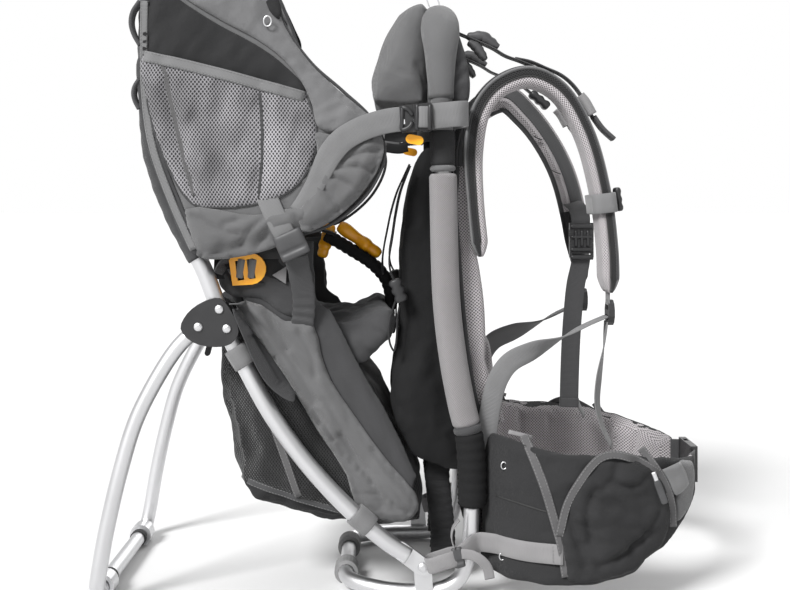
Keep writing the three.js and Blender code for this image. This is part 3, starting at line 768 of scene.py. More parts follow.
def soft(
    name, source, material, voxel=5.0, shrink=2.0, pressure=4.0, cap=6.0, relief=(), body="frame",
    smooth=4, replaces=True
):
    """A stuffed or sewn piece grown from a CAD solid: remeshed, swollen as cloth, then seamed and creased.

    relief is a list of functions (points, normals) that give a height in millimetres.
    """
    piece = place(name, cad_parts[source].data.copy())
    piece.data.materials.clear()
    remesh = piece.modifiers.new("remesh", "REMESH")
    remesh.mode = "VOXEL"
    remesh.voxel_size = voxel / 1000
    rounder = piece.modifiers.new("smooth", "SMOOTH")
    rounder.factor = 0.5
    rounder.iterations = smooth
    bake(piece)
    mesh = piece.data
    move_to(mesh, coordinates(mesh) - coordinates(mesh, "normal") * shrink / 1000)
    swell(piece, pressure, cap)
    subdivide(piece)
    bake(piece)
    mesh = piece.data
    for layer in relief:
        points = coordinates(mesh) * 1000 - np.array([DATUM_X, 0, 0])
        normals = coordinates(mesh, "normal")
        move_to(mesh, coordinates(mesh) + normals * layer(points, normals)[:, None] / 1000)
    box_uvs(mesh)
    mesh.polygons.foreach_set("use_smooth", [True] * len(mesh.polygons))
    mesh.materials.append(MATERIALS[material])
    if replaces:
        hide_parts(source)
    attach(piece, body)
    return piece


def groove(lines, depth, width):
    """Sewn channels along lines of (x, y, z) in millimetres from the datum."""
    def height(points, _):
        near = np.full(len(points), 1e9)
        for line in lines:
            near = np.minimum(near, edge_distance(points, spline(line, 6)))
        return -depth * np.exp(-(near / width) ** 2)
    return height


def creases(amount, scale, stretch=(1, 1, 1), seed=0.0, only=None, sharp=1.0, turn=0.0):
    """Soft wrinkles. stretch draws them out along the axes; turn tips them about Y in degrees."""
    c, s = math.cos(math.radians(turn)), math.sin(math.radians(turn))

    def height(points, normals):
        x = (points[:, 0] * c + points[:, 2] * s) / (scale * stretch[0])
        z = (-points[:, 0] * s + points[:, 2] * c) / (scale * stretch[2])
        y = points[:, 1] / (scale * stretch[1])
        value = np.array([noise.noise(Vector((a, b, d + seed))) for a, b, d in zip(x, y, z)])
        value += 0.5 * np.array(
            [noise.noise(Vector((2.1 * a, 2.1 * b, 2.1 * d - seed))) for a, b, d in zip(x, y, z)]
        )
        value = np.sign(value) * np.abs(value) ** sharp
        weight = only(points) if only else 1.0
        return amount * value * weight
    return height


def ramp01(value, low, high):
    """Smooth step from 0 at low to 1 at high."""
    t = np.clip((value - low) / (high - low), 0, 1)
    return t * t * (3 - 2 * t)


def bump_along(line, amount, pitch, width, slant=0.0):
    """Gathers beside a seam: short ripples across a line, dying away from it."""
    path = spline(line, 8)
    run = run_along(path)

    def height(points, _):
        best, at = np.full(len(points), 1e9), np.zeros(len(points))
        for p, r in zip(path, run):
            d = np.linalg.norm(points - p, axis=1)
            nearer = d < best
            best, at = np.where(nearer, d, best), np.where(nearer, r, at)
        return amount * np.sin(2 * math.pi * (at + slant * best) / pitch) * np.exp(-best / width)
    return height


def mirrored(piece, node):
    """The left side's copy of a finished padded piece, in place of its own CAD node."""
    mesh = piece.data.copy()
    mesh.transform(Matrix.Diagonal((1, -1, 1, 1)))
    mesh.flip_normals()
    copy = place(f"{node}_cover", mesh)
    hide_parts(node)
    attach(copy, "frame")
    return copy


def paint(piece, materials, choose):
    """Gives faces a material by their centres in millimetres from the datum and their normals."""
    mesh = piece.data
    mesh.materials.clear()
    for look in materials:
        mesh.materials.append(MATERIALS[look])
    centre = np.zeros(len(mesh.polygons) * 3)
    mesh.polygons.foreach_get("center", centre)
    normal = np.zeros(len(mesh.polygons) * 3)
    mesh.polygons.foreach_get("normal", normal)
    points = centre.reshape(-1, 3) * 1000 - np.array([DATUM_X, 0, 0])
    mesh.polygons.foreach_set("material_index", choose(points, normal.reshape(-1, 3)).astype(np.int32))


def thicken(piece, thickness):
    """Gives a single sheet its cloth thickness in millimetres."""
    modifier = piece.modifiers.new("thickness", "SOLIDIFY")
    modifier.thickness = thickness / 1000
    modifier.offset = 0
    return piece


def sheet_panel(
    name, outline, mapping, height, material, pitch=6.0, thickness=1.2, smooth_outline=4, body="frame"
):
    """A single cloth panel; height(points, edge distance) in millimetres goes to mapping."""
    outline = spline(outline, smooth_outline, closed=True) if smooth_outline else np.array(outline, float)
    points, triangles, closed = triangulate(outline, pitch)
    heights = height(points, edge_distance(points, closed))
    verts = [mapping(u, v, h) for (u, v), h in zip(points, heights)]
    uvs = [(u / 1000, v / 1000) for u, v in points]
    piece = finish_mesh(name, verts, triangles, material, uvs, body=body)
    return thicken(piece, thickness)


def side_map(side, near):
    """Maps (x, z, h) to a point on one side, h millimetres outwards from |y| = near."""
    return lambda u, v, h: V(u, side * (near + h), v)


def surface_of(*pieces):
    """A ray-castable copy of pieces in world space."""
    bm = bmesh.new()
    for piece in pieces:
        copy = piece.data.copy()
        copy.transform(piece.matrix_world)
        bm.from_mesh(copy)
        bpy.data.meshes.remove(copy)
    tree = BVHTree.FromBMesh(bm)
    bm.free()
    return tree


def on_side(tree, points, side, lift=0.8, fallback=150.0):
    """Lays (x, z) points on a surface, seen from that side, and returns (x, y, z) points."""
    out = []
    last = fallback
    for x, z in points:
        start = V(x, side * RAY_START, z)
        hit = tree.ray_cast(start, Vector((0, -side, 0)))[0]
        if hit is not None:
            last = abs(hit.y) * 1000
        out.append((x, side * (last + lift), z))
    return np.array(out)


def metres(points):
    """Points in millimetres from the datum, as metres in the row frame."""
    return (np.array(points) + np.array([DATUM_X, 0, 0])) / 1000


def flatways(path, side):
    """Across directions for a tape that lies in the XZ plane."""
    across = np.cross(tangents(path), np.array([0.0, side, 0.0]))
    return across / np.maximum(np.linalg.norm(across, axis=1, keepdims=True), 1e-9)


def tape(
    name, points, tree, side, width, material="binding", thickness=1.4, lift=0.5, stitched=True,
    body="frame"
):
    """Binding laid on a surface along (x, z) points, with a row of stitches near each edge."""
    line = resample(spline(points, 8), 5.0)
    path = metres(on_side(tree, line, side, lift))
    for _ in range(2):
        path[1:-1] = (path[:-2] + 2 * path[1:-1] + path[2:]) / 4
    across = flatways(path, side)
    section = flat_section(width / 1000, thickness / 1000)
    piece = sweep(name, path, section, material, across, body=body)
    if stitched:
        for row, offset in enumerate((-0.36, 0.36)):
            rail = path + across * width / 1000 * offset
            rail[:, 1] += side * (thickness / 2 + 0.1) / 1000
            stitches(f"{name}_stitch_{row + 1}", rail, "thread", lift=(0, side, 0), body=body)
    return piece


def laid(
    name, outline, tree, side, material, lift=1.0, bulge=0.0, rim=8.0, pitch=5.0, thickness=1.2,
    wrinkle=None, smooth_outline=4, body="frame", seam=0.0
):
    """A cloth panel laid on a surface, sewn down at seam millimetres in; outline is (x, z) points."""
    outline = spline(outline, smooth_outline, closed=True) if smooth_outline else np.array(outline, float)
    points, triangles, closed = triangulate(outline, pitch)
    rise = crown(edge_distance(points, closed), rim)
    places = on_side(tree, points, side, 0.0)
    height = lift * np.ones(len(points)) + bulge * rise
    if wrinkle:
        height += wrinkle(points) * rise
    if seam:
        height -= SEAM_DEPTH * np.exp(-((edge_distance(points, closed) - seam) / SEAM_WIDTH) ** 2)
    places[:, 1] += side * height
    uvs = points / 1000
    piece = finish_mesh(name, metres(places), triangles, material, uvs, body=body)
    return thicken(piece, thickness)


def subdivide(piece, levels=1):
    """Adds a subdivision surface."""
    modifier = piece.modifiers.new("subdivision", "SUBSURF")
    modifier.levels = modifier.render_levels = levels
    return piece


def bevel(piece, width=0.8, segments=3):
    """Rounds the hard edges; the width is in millimetres."""
    modifier = piece.modifiers.new("bevel", "BEVEL")
    modifier.width = width / 1000
    modifier.segments = segments
    modifier.limit_method = "ANGLE"
    modifier.angle_limit = math.radians(35)
    modifier.harden_normals = False
    return piece


# ---------------------------------------------------------------- rigid parts
NODE_LOOKS = {
    "rear_hoop": "alu_matte", "front_hoop": "alu", "base_loop": "alu", "kickstand": "alu",
    "kickstand_foot": "rubber", "base_foot": "grey_rubber", "hub_plate_outer": "plastic",
    "hub_plate_inner": "plastic", "pivot_rivet": "steel", "hub_rivet_upper": "steel",
    "hub_rivet_lower": "steel", "base_rivet": "steel", "lock_lever": "rubber", "cabin_adjuster": "orange",
    "entry_buckle": "plastic", "strap_adjuster": "plastic", "sternum": "plastic", "hip_buckle": "plastic",
    "zip_pull": "binding",
}
ROUNDED = ("hub_plate", "foot", "adjuster", "buckle", "sternum", "zip_pull", "lever")


def dress_nodes():
    """Looks for all CAD nodes, and rounded edges for the moulded ones."""
    for name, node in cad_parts.items():
        look = next((NODE_LOOKS[key] for key in NODE_LOOKS if name.startswith(key)), "plastic")
        node.data.materials.clear()
        node.data.materials.append(MATERIALS[look])
        if any(key in name for key in ROUNDED):
            bevel(node, 0.9)


def smooth_tube(name, points, radius, material, body="frame", steps=10, sides=32):
    """A round tube in place of a coarse node, both sides mirrored from one half."""
    right = [(x, -y, z) for x, y, z in points]
    left = [(x, y, z) for x, y, z in points[:-1]][::-1]
    path = spline([V(*p) for p in right + left], steps)
    return sweep(name, path, round_section(radius / 1000, sides), material, (0, 0, 1), body=body)


HOOP_Y, FRONT_Y = 128, 125
REAR_HOOP = [
    (22, 137, 56), (-6, 136, 74), (-54, 134, 116), (-102, 132, 168), (-142, 130.5, 223), (-173, 129, 279),
    (-195, HOOP_Y, 322), (-210, HOOP_Y, 362), (-225, HOOP_Y, 400), (-253, HOOP_Y, 452),
    (-271, HOOP_Y, 494), (-285, HOOP_Y, 542), (-289, HOOP_Y, 601), (-290, HOOP_Y, 667), (-288, 126, 725),
    (-284, 116, 768), (-280, 92, 789), (-279, 60, 794), (-279, 0, 795)
]
FRONT_HOOP = [
    (98.5, FRONT_Y, 113), (99, FRONT_Y, 130), (96, FRONT_Y, 192), (86, FRONT_Y, 236), (76, FRONT_Y, 290),
    (68, FRONT_Y, 361), (64, FRONT_Y, 505), (61, FRONT_Y, 640), (61, 122, 672), (61, 105, 695),
    (61, 80, 702), (61, 0, 703)
]
BASE_LOOP = [
    (98.5, FRONT_Y, 112.4), (97, FRONT_Y, 80), (93, FRONT_Y, 48), (82, FRONT_Y, 24), (60, FRONT_Y, 11.5),
    (30, FRONT_Y, 9.5), (0, 122, 10), (-30, 108, 11.5), (-48, 92, 12.6), (-55, 72, 13), (-55, 56, 13),
    (-55, 36, 13), (-55, 0, 13),
]
STAND = [
    (-224.5, HOOP_Y, 333.4), (-240, HOOP_Y, 319.5), (-255, 129, 304), (-274, 131, 276), (-303, 136, 219),
    (-321, 140, 159), (-337, 144, 88), (-345, 145, 42), (-349, 140, 19), (-349, 130, 13), (-349, 104, 13),
    (-349, 0, 13),
]


def build_tubes():
    """Smooth tubes in place of the coarse ones, with their flattened ends, collars and fabric sleeves."""
    for name, points, radius, look, body in (
        ("rear_hoop", REAR_HOOP, 10.5, "alu", "frame"),
        ("front_hoop", FRONT_HOOP, 10, "alu_matte", "frame"),
        ("base_loop", BASE_LOOP, 9.5, "alu", "frame"), ("kickstand", STAND, 9.5, "alu", "kickstand")
    ):
        tube = smooth_tube(f"{name}_tube", points, radius, look, body)
        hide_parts(name)
    # Flattened ends at the base rivet.
    for label, side in SIDES:
        for name, points, y, thick in (
            ("hoop_end", [(12, 63), (39, 43)], 137, 5), ("base_lug", [(41, 12), (39, 43)], 131.2, 6)
        ):
            end = punched(
                f"{name}_{label}", capsule(points[0], points[1], 10.8), [ring_of(39, 43, 3.3)], thick,
                (0, side * y, 0), 0, side, "alu", "frame"
            )
    # Collars on the kickstand's crossbar.
    for label, side in SIDES:
        path = resample(metres([(-349, side * 78, 13), (-349, side * 88, 13)]), 0.002)
        sweep(
            f"kickstand_collar_{label}", path, round_section(0.0112, 24), "rubber", (0, 0, 1),
            body="kickstand"
        )
    # Fabric sleeve that hangs the cabin on the rear hoop.
    whole = resample(spline([V(*p) for p in REAR_HOOP], 10), 0.004)
    for label, side in SIDES:
        path = whole[(whole[:, 2] > 0.409) & (whole[:, 2] < 0.79) & (whole[:, 1] > 0.085)].copy()
        path[:, 1] *= side

        def gathers(t):
            wave = 0.03 * math.sin(t * 60) + 0.02 * math.sin(t * 137)
            return 1 + wave, 1 + wave

        sweep(
            f"rear_hoop_sleeve_{label}", path, round_section(0.0128, 24), "mid", (0, 1, 0), scale=gathers
        )


# ---------------------------------------------------------------- child's cabin
def build_wing():
    """Padded wings with their sewn-on panels, tapes, piping, side pockets and straps."""
    def lobe(points):
        return ramp01(points[:, 0], -150, -60)

    def low(points):
        return 1 - ramp01(points[:, 2], 470, 520)

    wing = soft(
        "cabin_wing_right_cover", "cabin_wing_right", "grey", pressure=5, cap=7, shrink=2.5,
        relief=[
            creases(2.2, 46, stretch=(1, 1, 1.8), only=lobe, turn=35),
            creases(1.6, 60, stretch=(2, 1, 1), seed=4, only=low, turn=10), creases(1.0, 90, seed=9),
            bump_along(
                [(-72, -150, 596), (-60, -152, 560), (-72, -152, 520), (-96, -152, 480)], 1.1, 15, 26
            ),
            groove(
                [
                    [(-6, -150, 552), (-34, -152, 557), (-58, -152, 566), (-84, -152, 590)],
                    [(-124, -152, 478), (-110, -152, 450), (-102, -150, 434)]
                ],
                1.8, 3.0
            )
        ]
    )
    other = mirrored(wing, "cabin_wing_left")
    wings = {"right": wing, "left": other}
    for label, side in SIDES:
        tree = surface_of(wings[label])

        def soft_folds(points):
            return 1.6 * folds(points, 30, stretch=(1, 2.4), angle=-35, seed=side)

        # Dark triangle behind the pocket's mouth, and the grey panel that sweeps down to the front lobe.
        laid(
            f"wing_dark_panel_{label}",
            [
                (-290, 640), (-290, 700), (-283, 742), (-262, 727), (-228, 703), (-196, 684), (-160, 665),
                (-130, 644), (-100, 612), (-104, 600), (-160, 606), (-230, 622)
            ],
            tree, side, "dark", lift=0.9, bulge=0.8, wrinkle=soft_folds, smooth_outline=3
        )
        laid(
            f"wing_sweep_{label}",
            [
                (-284, 752), (-262, 733), (-228, 710), (-194, 690), (-158, 671), (-127, 648), (-104, 620),
                (-92, 594), (-84, 566), (-50, 560), (-16, 570), (-24, 580), (-60, 610), (-94, 642),
                (-124, 685), (-142, 734), (-164, 784), (-206, 818), (-256, 812), (-280, 782)
            ],
            tree, side, "grey_light", lift=1.6, bulge=3.2, rim=14, wrinkle=soft_folds, smooth_outline=3,
            pitch=4, seam=5
        )
        laid(
            f"wing_front_patch_{label}",
            [
                (-142, 704), (-131, 694), (-128, 706), (-137, 728), (-148, 752), (-166, 785), (-178, 796),
                (-168, 770), (-154, 738)
            ],
            tree, side, "dark", lift=4.6, bulge=0.6, rim=4, smooth_outline=3
        )
        gathered = puckered(
            (
                [(-58, 526), (-34, 536), (-10, 540)], [(-62, 518), (-40, 520), (-18, 514)],
                [(-68, 508), (-50, 500), (-34, 488)], [(-78, 494), (-66, 480), (-56, 466)],
                [(-60, 531), (-40, 545), (-24, 556)]
            ),
            deep=4.6, wide=3.6, amount=1.6, scale=30, stretch=(0.8, 2.6), angle=-32, seed=5 + side
        )

        laid(
            f"wing_lobe_{label}",
            [
                (-88, 560), (-62, 556), (-40, 560), (-16, 566), (-7, 540), (-26, 498), (-66, 458),
                (-104, 443), (-106, 470), (-92, 490), (-86, 520), (-86, 545)
            ],
            tree, side, "grey", lift=1.6, bulge=4.4, rim=16, wrinkle=gathered, smooth_outline=3,
            pitch=3.5, seam=5
        )
        pulled = puckered(
            (
                [(-146, 462), (-162, 448), (-176, 430)], [(-154, 466), (-176, 458), (-196, 452)],
                [(-142, 452), (-150, 436), (-158, 424)], [(-232, 464), (-206, 448), (-178, 440)],
                [(-112, 462), (-104, 452), (-100, 444)]
            ),
            deep=4.2, wide=3.4, amount=1.4, scale=34, stretch=(2.2, 0.8), angle=12, seed=2 + side
        )

        laid(
            f"wing_low_band_{label}",
            [
                (-240, 470), (-160, 463), (-122, 470), (-96, 470), (-112, 438), (-150, 420), (-205, 411),
                (-228, 415), (-238, 440)
            ],
            tree, side, "grey", lift=1.6, bulge=3.0, rim=12, wrinkle=pulled, pitch=4
        )
        laid(
            f"wing_rear_strip_{label}",
            [
                (-297, 650), (-297, 600), (-288, 545), (-266, 486), (-239, 424), (-226, 416), (-234, 446),
                (-262, 516), (-279, 578), (-283, 648)
            ],
            tree, side, "mid", lift=2.2, bulge=1.2, rim=5
        )
        tape(
            f"wing_rear_tape_{label}",
            [(-290, 716), (-291, 655), (-289, 600), (-281, 545), (-258, 480), (-232, 422)], tree, side, 9,
            "web_grey", lift=2.8
        )
        edge = [
            (-262, 819), (-214, 821), (-172, 791), (-145, 738), (-125, 688), (-93, 643), (-57, 611),
            (-21, 576), (-6, 538), (-24, 492), (-68, 453), (-108, 439), (-156, 427), (-206, 413)
        ]
        rim = metres([(x, side * 146, z) for x, z in spline(edge, 8)])
        sweep(f"wing_piping_{label}", rim, round_section(0.0021, 10), "mid", (0, 1, 0))
        build_pocket(label, side)
        build_wing_straps(label, side)


POCKET = [
    (-292, 652), (-228, 638), (-156, 619), (-98, 604), (-84, 566), (-90, 524), (-116, 490), (-158, 474),
    (-200, 470), (-232, 474), (-262, 520), (-284, 584)
]


def build_pocket(label, side):
    """Stretch net with its binding, seams and piping."""
    mouth = 4
    closed = spline(POCKET, 5, closed=True)
    held = closed[(mouth - 1) * 5:]
    held = np.vstack([held, closed[:1]])
    seams = [
        spline(line, 6)
        for line in (
            [(-153, 612), (-150, 563), (-152, 510), (-156, 476)],
            [(-268, 646), (-256, 586), (-240, 520), (-228, 482)]
        )
    ]

    def height(points, _):
        rise = crown(edge_distance(points, held), 46)
        sag = 1.8 * folds(points, 30, stretch=(0.8, 2.2), angle=-12, seed=7)
        dip = sum(np.exp(-(edge_distance(points, seam) / 9) ** 2) for seam in seams)
        return rise * (13 + sag - 5 * dip)

    net = sheet_panel(
        f"pocket_net_{label}", POCKET, side_map(side, 152), height, "net", pitch=4, smooth_outline=5
    )
    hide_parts(f"mesh_pocket_{label}")
    tree = surface_of(net)
    top = [(-289, 650), (-228, 636), (-156, 617), (-101, 602)]
    line = spline(top, 10)
    places = on_side(tree, [(x, z - 3) for x, z in line], side, 1.2)
    places[:, 2] += 3
    path = metres(places)
    across = flatways(path, side)
    sweep(f"pocket_binding_{label}", path, flat_section(0.013, 0.0022), "web_grey", across)
    for row, offset in enumerate((-0.0048, 0.0048)):
        rail = path + across * offset
        rail[:, 1] += side * 0.0013
        stitches(f"pocket_binding_stitch_{label}_{row}", rail, "thread", lift=(0, side, 0))
    tape(
        f"pocket_seam_front_{label}", [(-153, 606), (-150, 563), (-152, 510), (-156, 478)], tree, side, 4,
        "mid", lift=0.4, stitched=False
    )
    tape(
        f"pocket_seam_rear_{label}", [(-267, 640), (-255, 586), (-240, 522), (-229, 486)], tree, side, 7,
        "binding", lift=0.4
    )
    rim = metres(
        on_side(
            tree,
            resample(
                spline(
                    [
                        (-286, 600), (-284, 584), (-262, 520), (-232, 476), (-200, 472), (-158, 476),
                        (-117, 492), (-91, 526), (-86, 566), (-97, 600)
                    ],
                    6
                ),
                5
            ),
            side, 0.6, 152
        )
    )
    sweep(f"pocket_piping_{label}", rim, round_section(0.0017, 8), "mid", (0, 1, 0))


def build_wing_straps(label, side):
    """Entry strap with its patch, the height strap below the wing, and the metal zip ring."""
    # Webbing sewn to the wing, turned and then led forward to the buckle.
    route = [
        (-108, 155.5, 466), (-99, 157, 479), (-90, 159, 495), (-81, 161.5, 513), (-71, 163, 533),
        (-57, 163, 550), (-36, 162.5, 563), (-14, 161, 571), (2, 160, 574.5), (15, 159, 576)
    ]
    path = resample(spline([V(x, side * b, z) for x, b, z in route], 8), 0.004)
    wide = lambda t: (0.80 + 0.20 * ramp01(t, 0.2, 0.5), 1.0)
    webbing = sweep(
        f"entry_strap_{label}", path, flat_section(0.029, 0.0022), "web_grey", flatways(path, 1),
        scale=wide, body=None
    )
    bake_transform(webbing)
    rail = path[1:4] + np.array([0, side * 0.0016, 0])
    stitches(f"entry_strap_stitch_{label}", rail, "thread", lift=(0, side, 0))
    build_entry_buckle(label, side)
    loop = [
        (50, 159), (66, 159.5), (82, 158), (91, 148), (92, 128), (84, 108), (64, 104), (46, 110),
        (40, 128), (42, 146), (49, 156)
    ]
    path = spline([V(x, side * b, 577 + 0.1 * (x - 28)) for x, b in loop], 8)
    sweep(f"entry_loop_{label}", path, flat_section(0.030, 0.002), "web_grey", (0.0, 0, 1))
    # Height strap: grey webbing out of the wing, a slide buckle, then a ruffled fabric strap into the seat.
    strap(
        f"height_strap_{label}",
        [
            (-146, side * 155, 486), (-137, side * 158, 466), (-127, side * 158, 446),
            (-121, side * 154, 436)
        ],
        25, "web_grey", side="flat", thickness=2
    )
    slide_buckle(f"height_slide_{label}", (-116, side * 156, 428), 36, 33, 9, -24)
    ruffled(
        f"height_tail_{label}",
        [
            (-111, side * 149, 414), (-108, side * 141, 396), (-104, side * 131, 372),
            (-104, side * 122, 348), (-107, side * 116, 328), (-110, side * 113, 318)
        ],
        27, side
    )
    ring = [(-144 + 4.5 * math.cos(a), side * 159.5, 691 + 6 * math.sin(a)) for a in turn_angles(16)]
    cord(f"zip_ring_{label}", ring, 1.8, "steel", closed=True)
    for number, (z, length, out) in enumerate(((690, 52, 10), (606, 34, 6))):
        x = -296 if number == 0 else -297
        strap(
            f"wing_tab_{label}_{number}",
            [
                (x, side * 146, z + length / 2), (x - out * 0.8, side * 147, z + length / 4),
                (x - out, side * 148, z), (x - out * 0.7, side * 147, z - length / 4),
                (x, side * 146, z - length / 2)
            ],
            16, "web_dark", side=(0, 1, 0), thickness=5
        )


def build_entry_buckle(label, side):
    """Ladder bars, webbing turns and spring arms on the two buckle halves."""
    def rail(name, points, radius, material, body):
        path = resample(spline([V(x, side * y, z) for x, y, z in points], 6), 0.002)
        ends = lambda t: (min(1.0, 0.6 + min(t, 1 - t) * 8),) * 2
        sweep(
            f"entry_{name}_{label}", path, round_section(radius / 1000, 12), material, (1, 0, 0),
            scale=ends, body=body
        )

    for number, x in enumerate((31, 46)):
        rail(
            f"ladder_{number + 1}", [(x, 164, 577 - 15), (x + 0.4, 165.2, 577), (x + 0.8, 164, 577 + 16)],
            2.4, "plastic", "frame"
        )
    path = resample(
        spline(
            [
                V(x, side * b, 578)
                for x, b in ((32, 163), (35, 165.6), (39, 166.2), (43, 165.6), (46, 163))
            ],
            6
        ),
        0.001
    )
    sweep(f"entry_turn_{label}", path, flat_section(0.025, 0.0024), "web_grey", (0, 0, 1))
    for number, up in enumerate((1, -1)):
        rail(
            f"arm_{number + 1}",
            [
                (13, 163.6, 576 + up * 13), (19, 165, 576 + up * 12), (24, 164.6, 576 + up * 8),
                (26, 163.8, 576 + up * 3)
            ],
            2.6, "plastic", f"entry_tongue_{label}"
        )
    rail(
        "tongue_bar", [(13.5, 163.4, 576 - 14), (14, 164.4, 576), (14.5, 163.4, 576 + 14)], 2.4,
        "plastic", f"entry_tongue_{label}"
    )
    tab = capsule((24, 553), (34, 551), 5.5)
    punched(
        f"entry_tab_{label}", [(x - 29, z - 552) for x, z in tab], [], 3, (29, side * 153, 552), 0, side,
        "orange", "frame"
    )
    strap(
        f"entry_under_{label}", [(-6, side * 150, 558), (12, side * 152, 556), (26, side * 152.5, 558)],
        14, "web_black", side="flat", thickness=2
    )


def ruffled(name, points, width, side):
    """Soft fabric strap with gathers across it, closer towards its lower end."""
    path = resample(spline([V(*p) for p in points], 10), 0.0018)
    t = np.linspace(0, 1, len(path))
    path[:, 1] += side * 0.0007 * np.sin(2 * math.pi * 7 * t ** 1.5) * ramp01(t, 0.35, 0.8)
    edge = lambda a: (1 + 0.03 * math.sin(50 * a ** 1.4), 1.0)
    return sweep(
        name, path, flat_section(width / 1000, 0.0026), "web_dark", flatways(path, 1), scale=edge
    )


def slide_buckle(name, at, width, height, thickness, tilt):
    """Tension-lock buckle: a plate with rounded rails, a raised lip and a bar below it."""
    c, s = math.cos(math.radians(tilt)), math.sin(math.radians(tilt))
    rows = [
        (-0.5, 0.35), (-0.44, 0.8), (-0.3, 0.85), (-0.24, 0.5), (-0.14, 0.5), (-0.08, 0.95), (0.1, 1.0),
        (0.3, 0.95), (0.44, 0.8), (0.5, 0.3)
    ]
    path = np.array([list(V(at[0] + t * height * s, at[1], at[2] + t * height * c)) for t, _ in rows])
    at_t = np.linspace(0, 1, len(rows))
    thick = lambda t: (1.0 - 0.06 * abs(2 * t - 1) ** 6, float(np.interp(t, at_t, [b for _, b in rows])))
    piece = sweep(
        name, path, flat_section(width / 1000, thickness / 1000, 0.35), "grey_plastic", (c, 0, -s),
        scale=thick
    )
    return subdivide(piece, 2)


def ring_of(x, z, radius, sides=20):
    """Points on a circle."""
    return [
        (x + radius * math.cos(2 * math.pi * i / sides), z + radius * math.sin(2 * math.pi * i / sides))
        for i in range(sides)
    ]


def capsule(a, b, radius, steps=10):
    """Outline of a bar with round ends between two points."""
    angle = math.atan2(b[1] - a[1], b[0] - a[0])
    points = []
    for centre, start in ((b, angle - math.pi / 2), (a, angle + math.pi / 2)):
        for i in range(steps + 1):
            t = start + math.pi * i / steps
            points.append((centre[0] + radius * math.cos(t), centre[1] + radius * math.sin(t)))
    return points


def rounded_rectangle(width, height, radius, steps=4):
    """Outline of a rectangle with round corners, centred on the origin."""
    points = []
    for cx, cz, start in ((1, 1, 0), (-1, 1, 90), (-1, -1, 180), (1, -1, 270)):
        for i in range(steps + 1):
            a = math.radians(start + 90 * i / steps)
            points.append(
                (
                    cx * (width / 2 - radius) + radius * math.cos(a),
                    cz * (height / 2 - radius) + radius * math.sin(a)
                )
            )
    return points


def punched(name, outer, holes, thickness, at, tilt, side, material, body):
    """A flat plate with holes, standing in the XZ plane."""
    loops = [outer] + holes
    points, edges, start = [], [], 0
    for loop in loops:
        points += [Vector(p) for p in loop]
        edges += [(start + i, start + (i + 1) % len(loop)) for i in range(len(loop))]
        start += len(loop)
    faces_in = [list(range(len(outer)))]
    start = len(outer)
    for hole in holes:
        faces_in.append(list(range(start, start + len(hole)))[::-1])
        start += len(hole)
    result = delaunay_2d_cdt(points, edges, [], 0, 1e-6)
    flat = np.array([list(p) for p in result[0]])
    closed = [np.vstack([np.array(loop), np.array(loop[:1])]) for loop in loops]
    keep = []
    for triangle in result[2]:
        middle = flat[list(triangle)].mean(axis=0)[None]
        if inside(middle, closed[0])[0] and not any(inside(middle, hole)[0] for hole in closed[1:]):
            keep.append(tuple(triangle))
    c, s = math.cos(math.radians(tilt)), math.sin(math.radians(tilt))
    bm = bmesh.new()
    verts = [
        bm.verts.new(V(at[0] + x * c + z * s, at[1] - side * thickness / 2, at[2] - x * s + z * c))
        for x, z in flat
    ]
    for triangle in keep:
        bm.faces.new([verts[i] for i in triangle])
    shell = bmesh.ops.extrude_face_region(bm, geom=bm.faces[:])
    moved = [v for v in shell["geom"] if isinstance(v, bmesh.types.BMVert)]
    bmesh.ops.translate(bm, verts=moved, vec=(0, side * thickness / 1000, 0))
    bmesh.ops.recalc_face_normals(bm, faces=bm.faces)
    mesh = bpy.data.meshes.new(name)
    bm.to_mesh(mesh)
    bm.free()
    mesh.materials.append(MATERIALS[material])
    piece = place(name, mesh)
    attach(piece, body)
    bevel(piece, 0.7, 2)
    return piece


def build_cabin_inside():
    """Back, head rest and seat of the child's cabin."""
    soft(
        "cabin_back_cover", "cabin_back", "grey", pressure=3, cap=4, shrink=1.5,
        relief=[creases(1.4, 50, seed=3)]
    )
    soft(
        "head_rest_cover", "head_rest", "dark", pressure=4, cap=6, shrink=3,
        relief=[
            creases(1.6, 40, seed=5),
            groove([[(-238, y, 700), (-232, y, 740), (-236, y, 800)] for y in (-55, 0, 55)], 3, 5)
        ]
    )
    soft(
        "seat_cover", "seat", "mid", pressure=4, cap=7, shrink=4, smooth=14,
        relief=[
            creases(7.0, 46, stretch=(1.6, 1, 0.8), seed=6, turn=-30),
            creases(3.0, 20, stretch=(1.6, 1, 0.8), seed=16, turn=-30)
        ]
    )


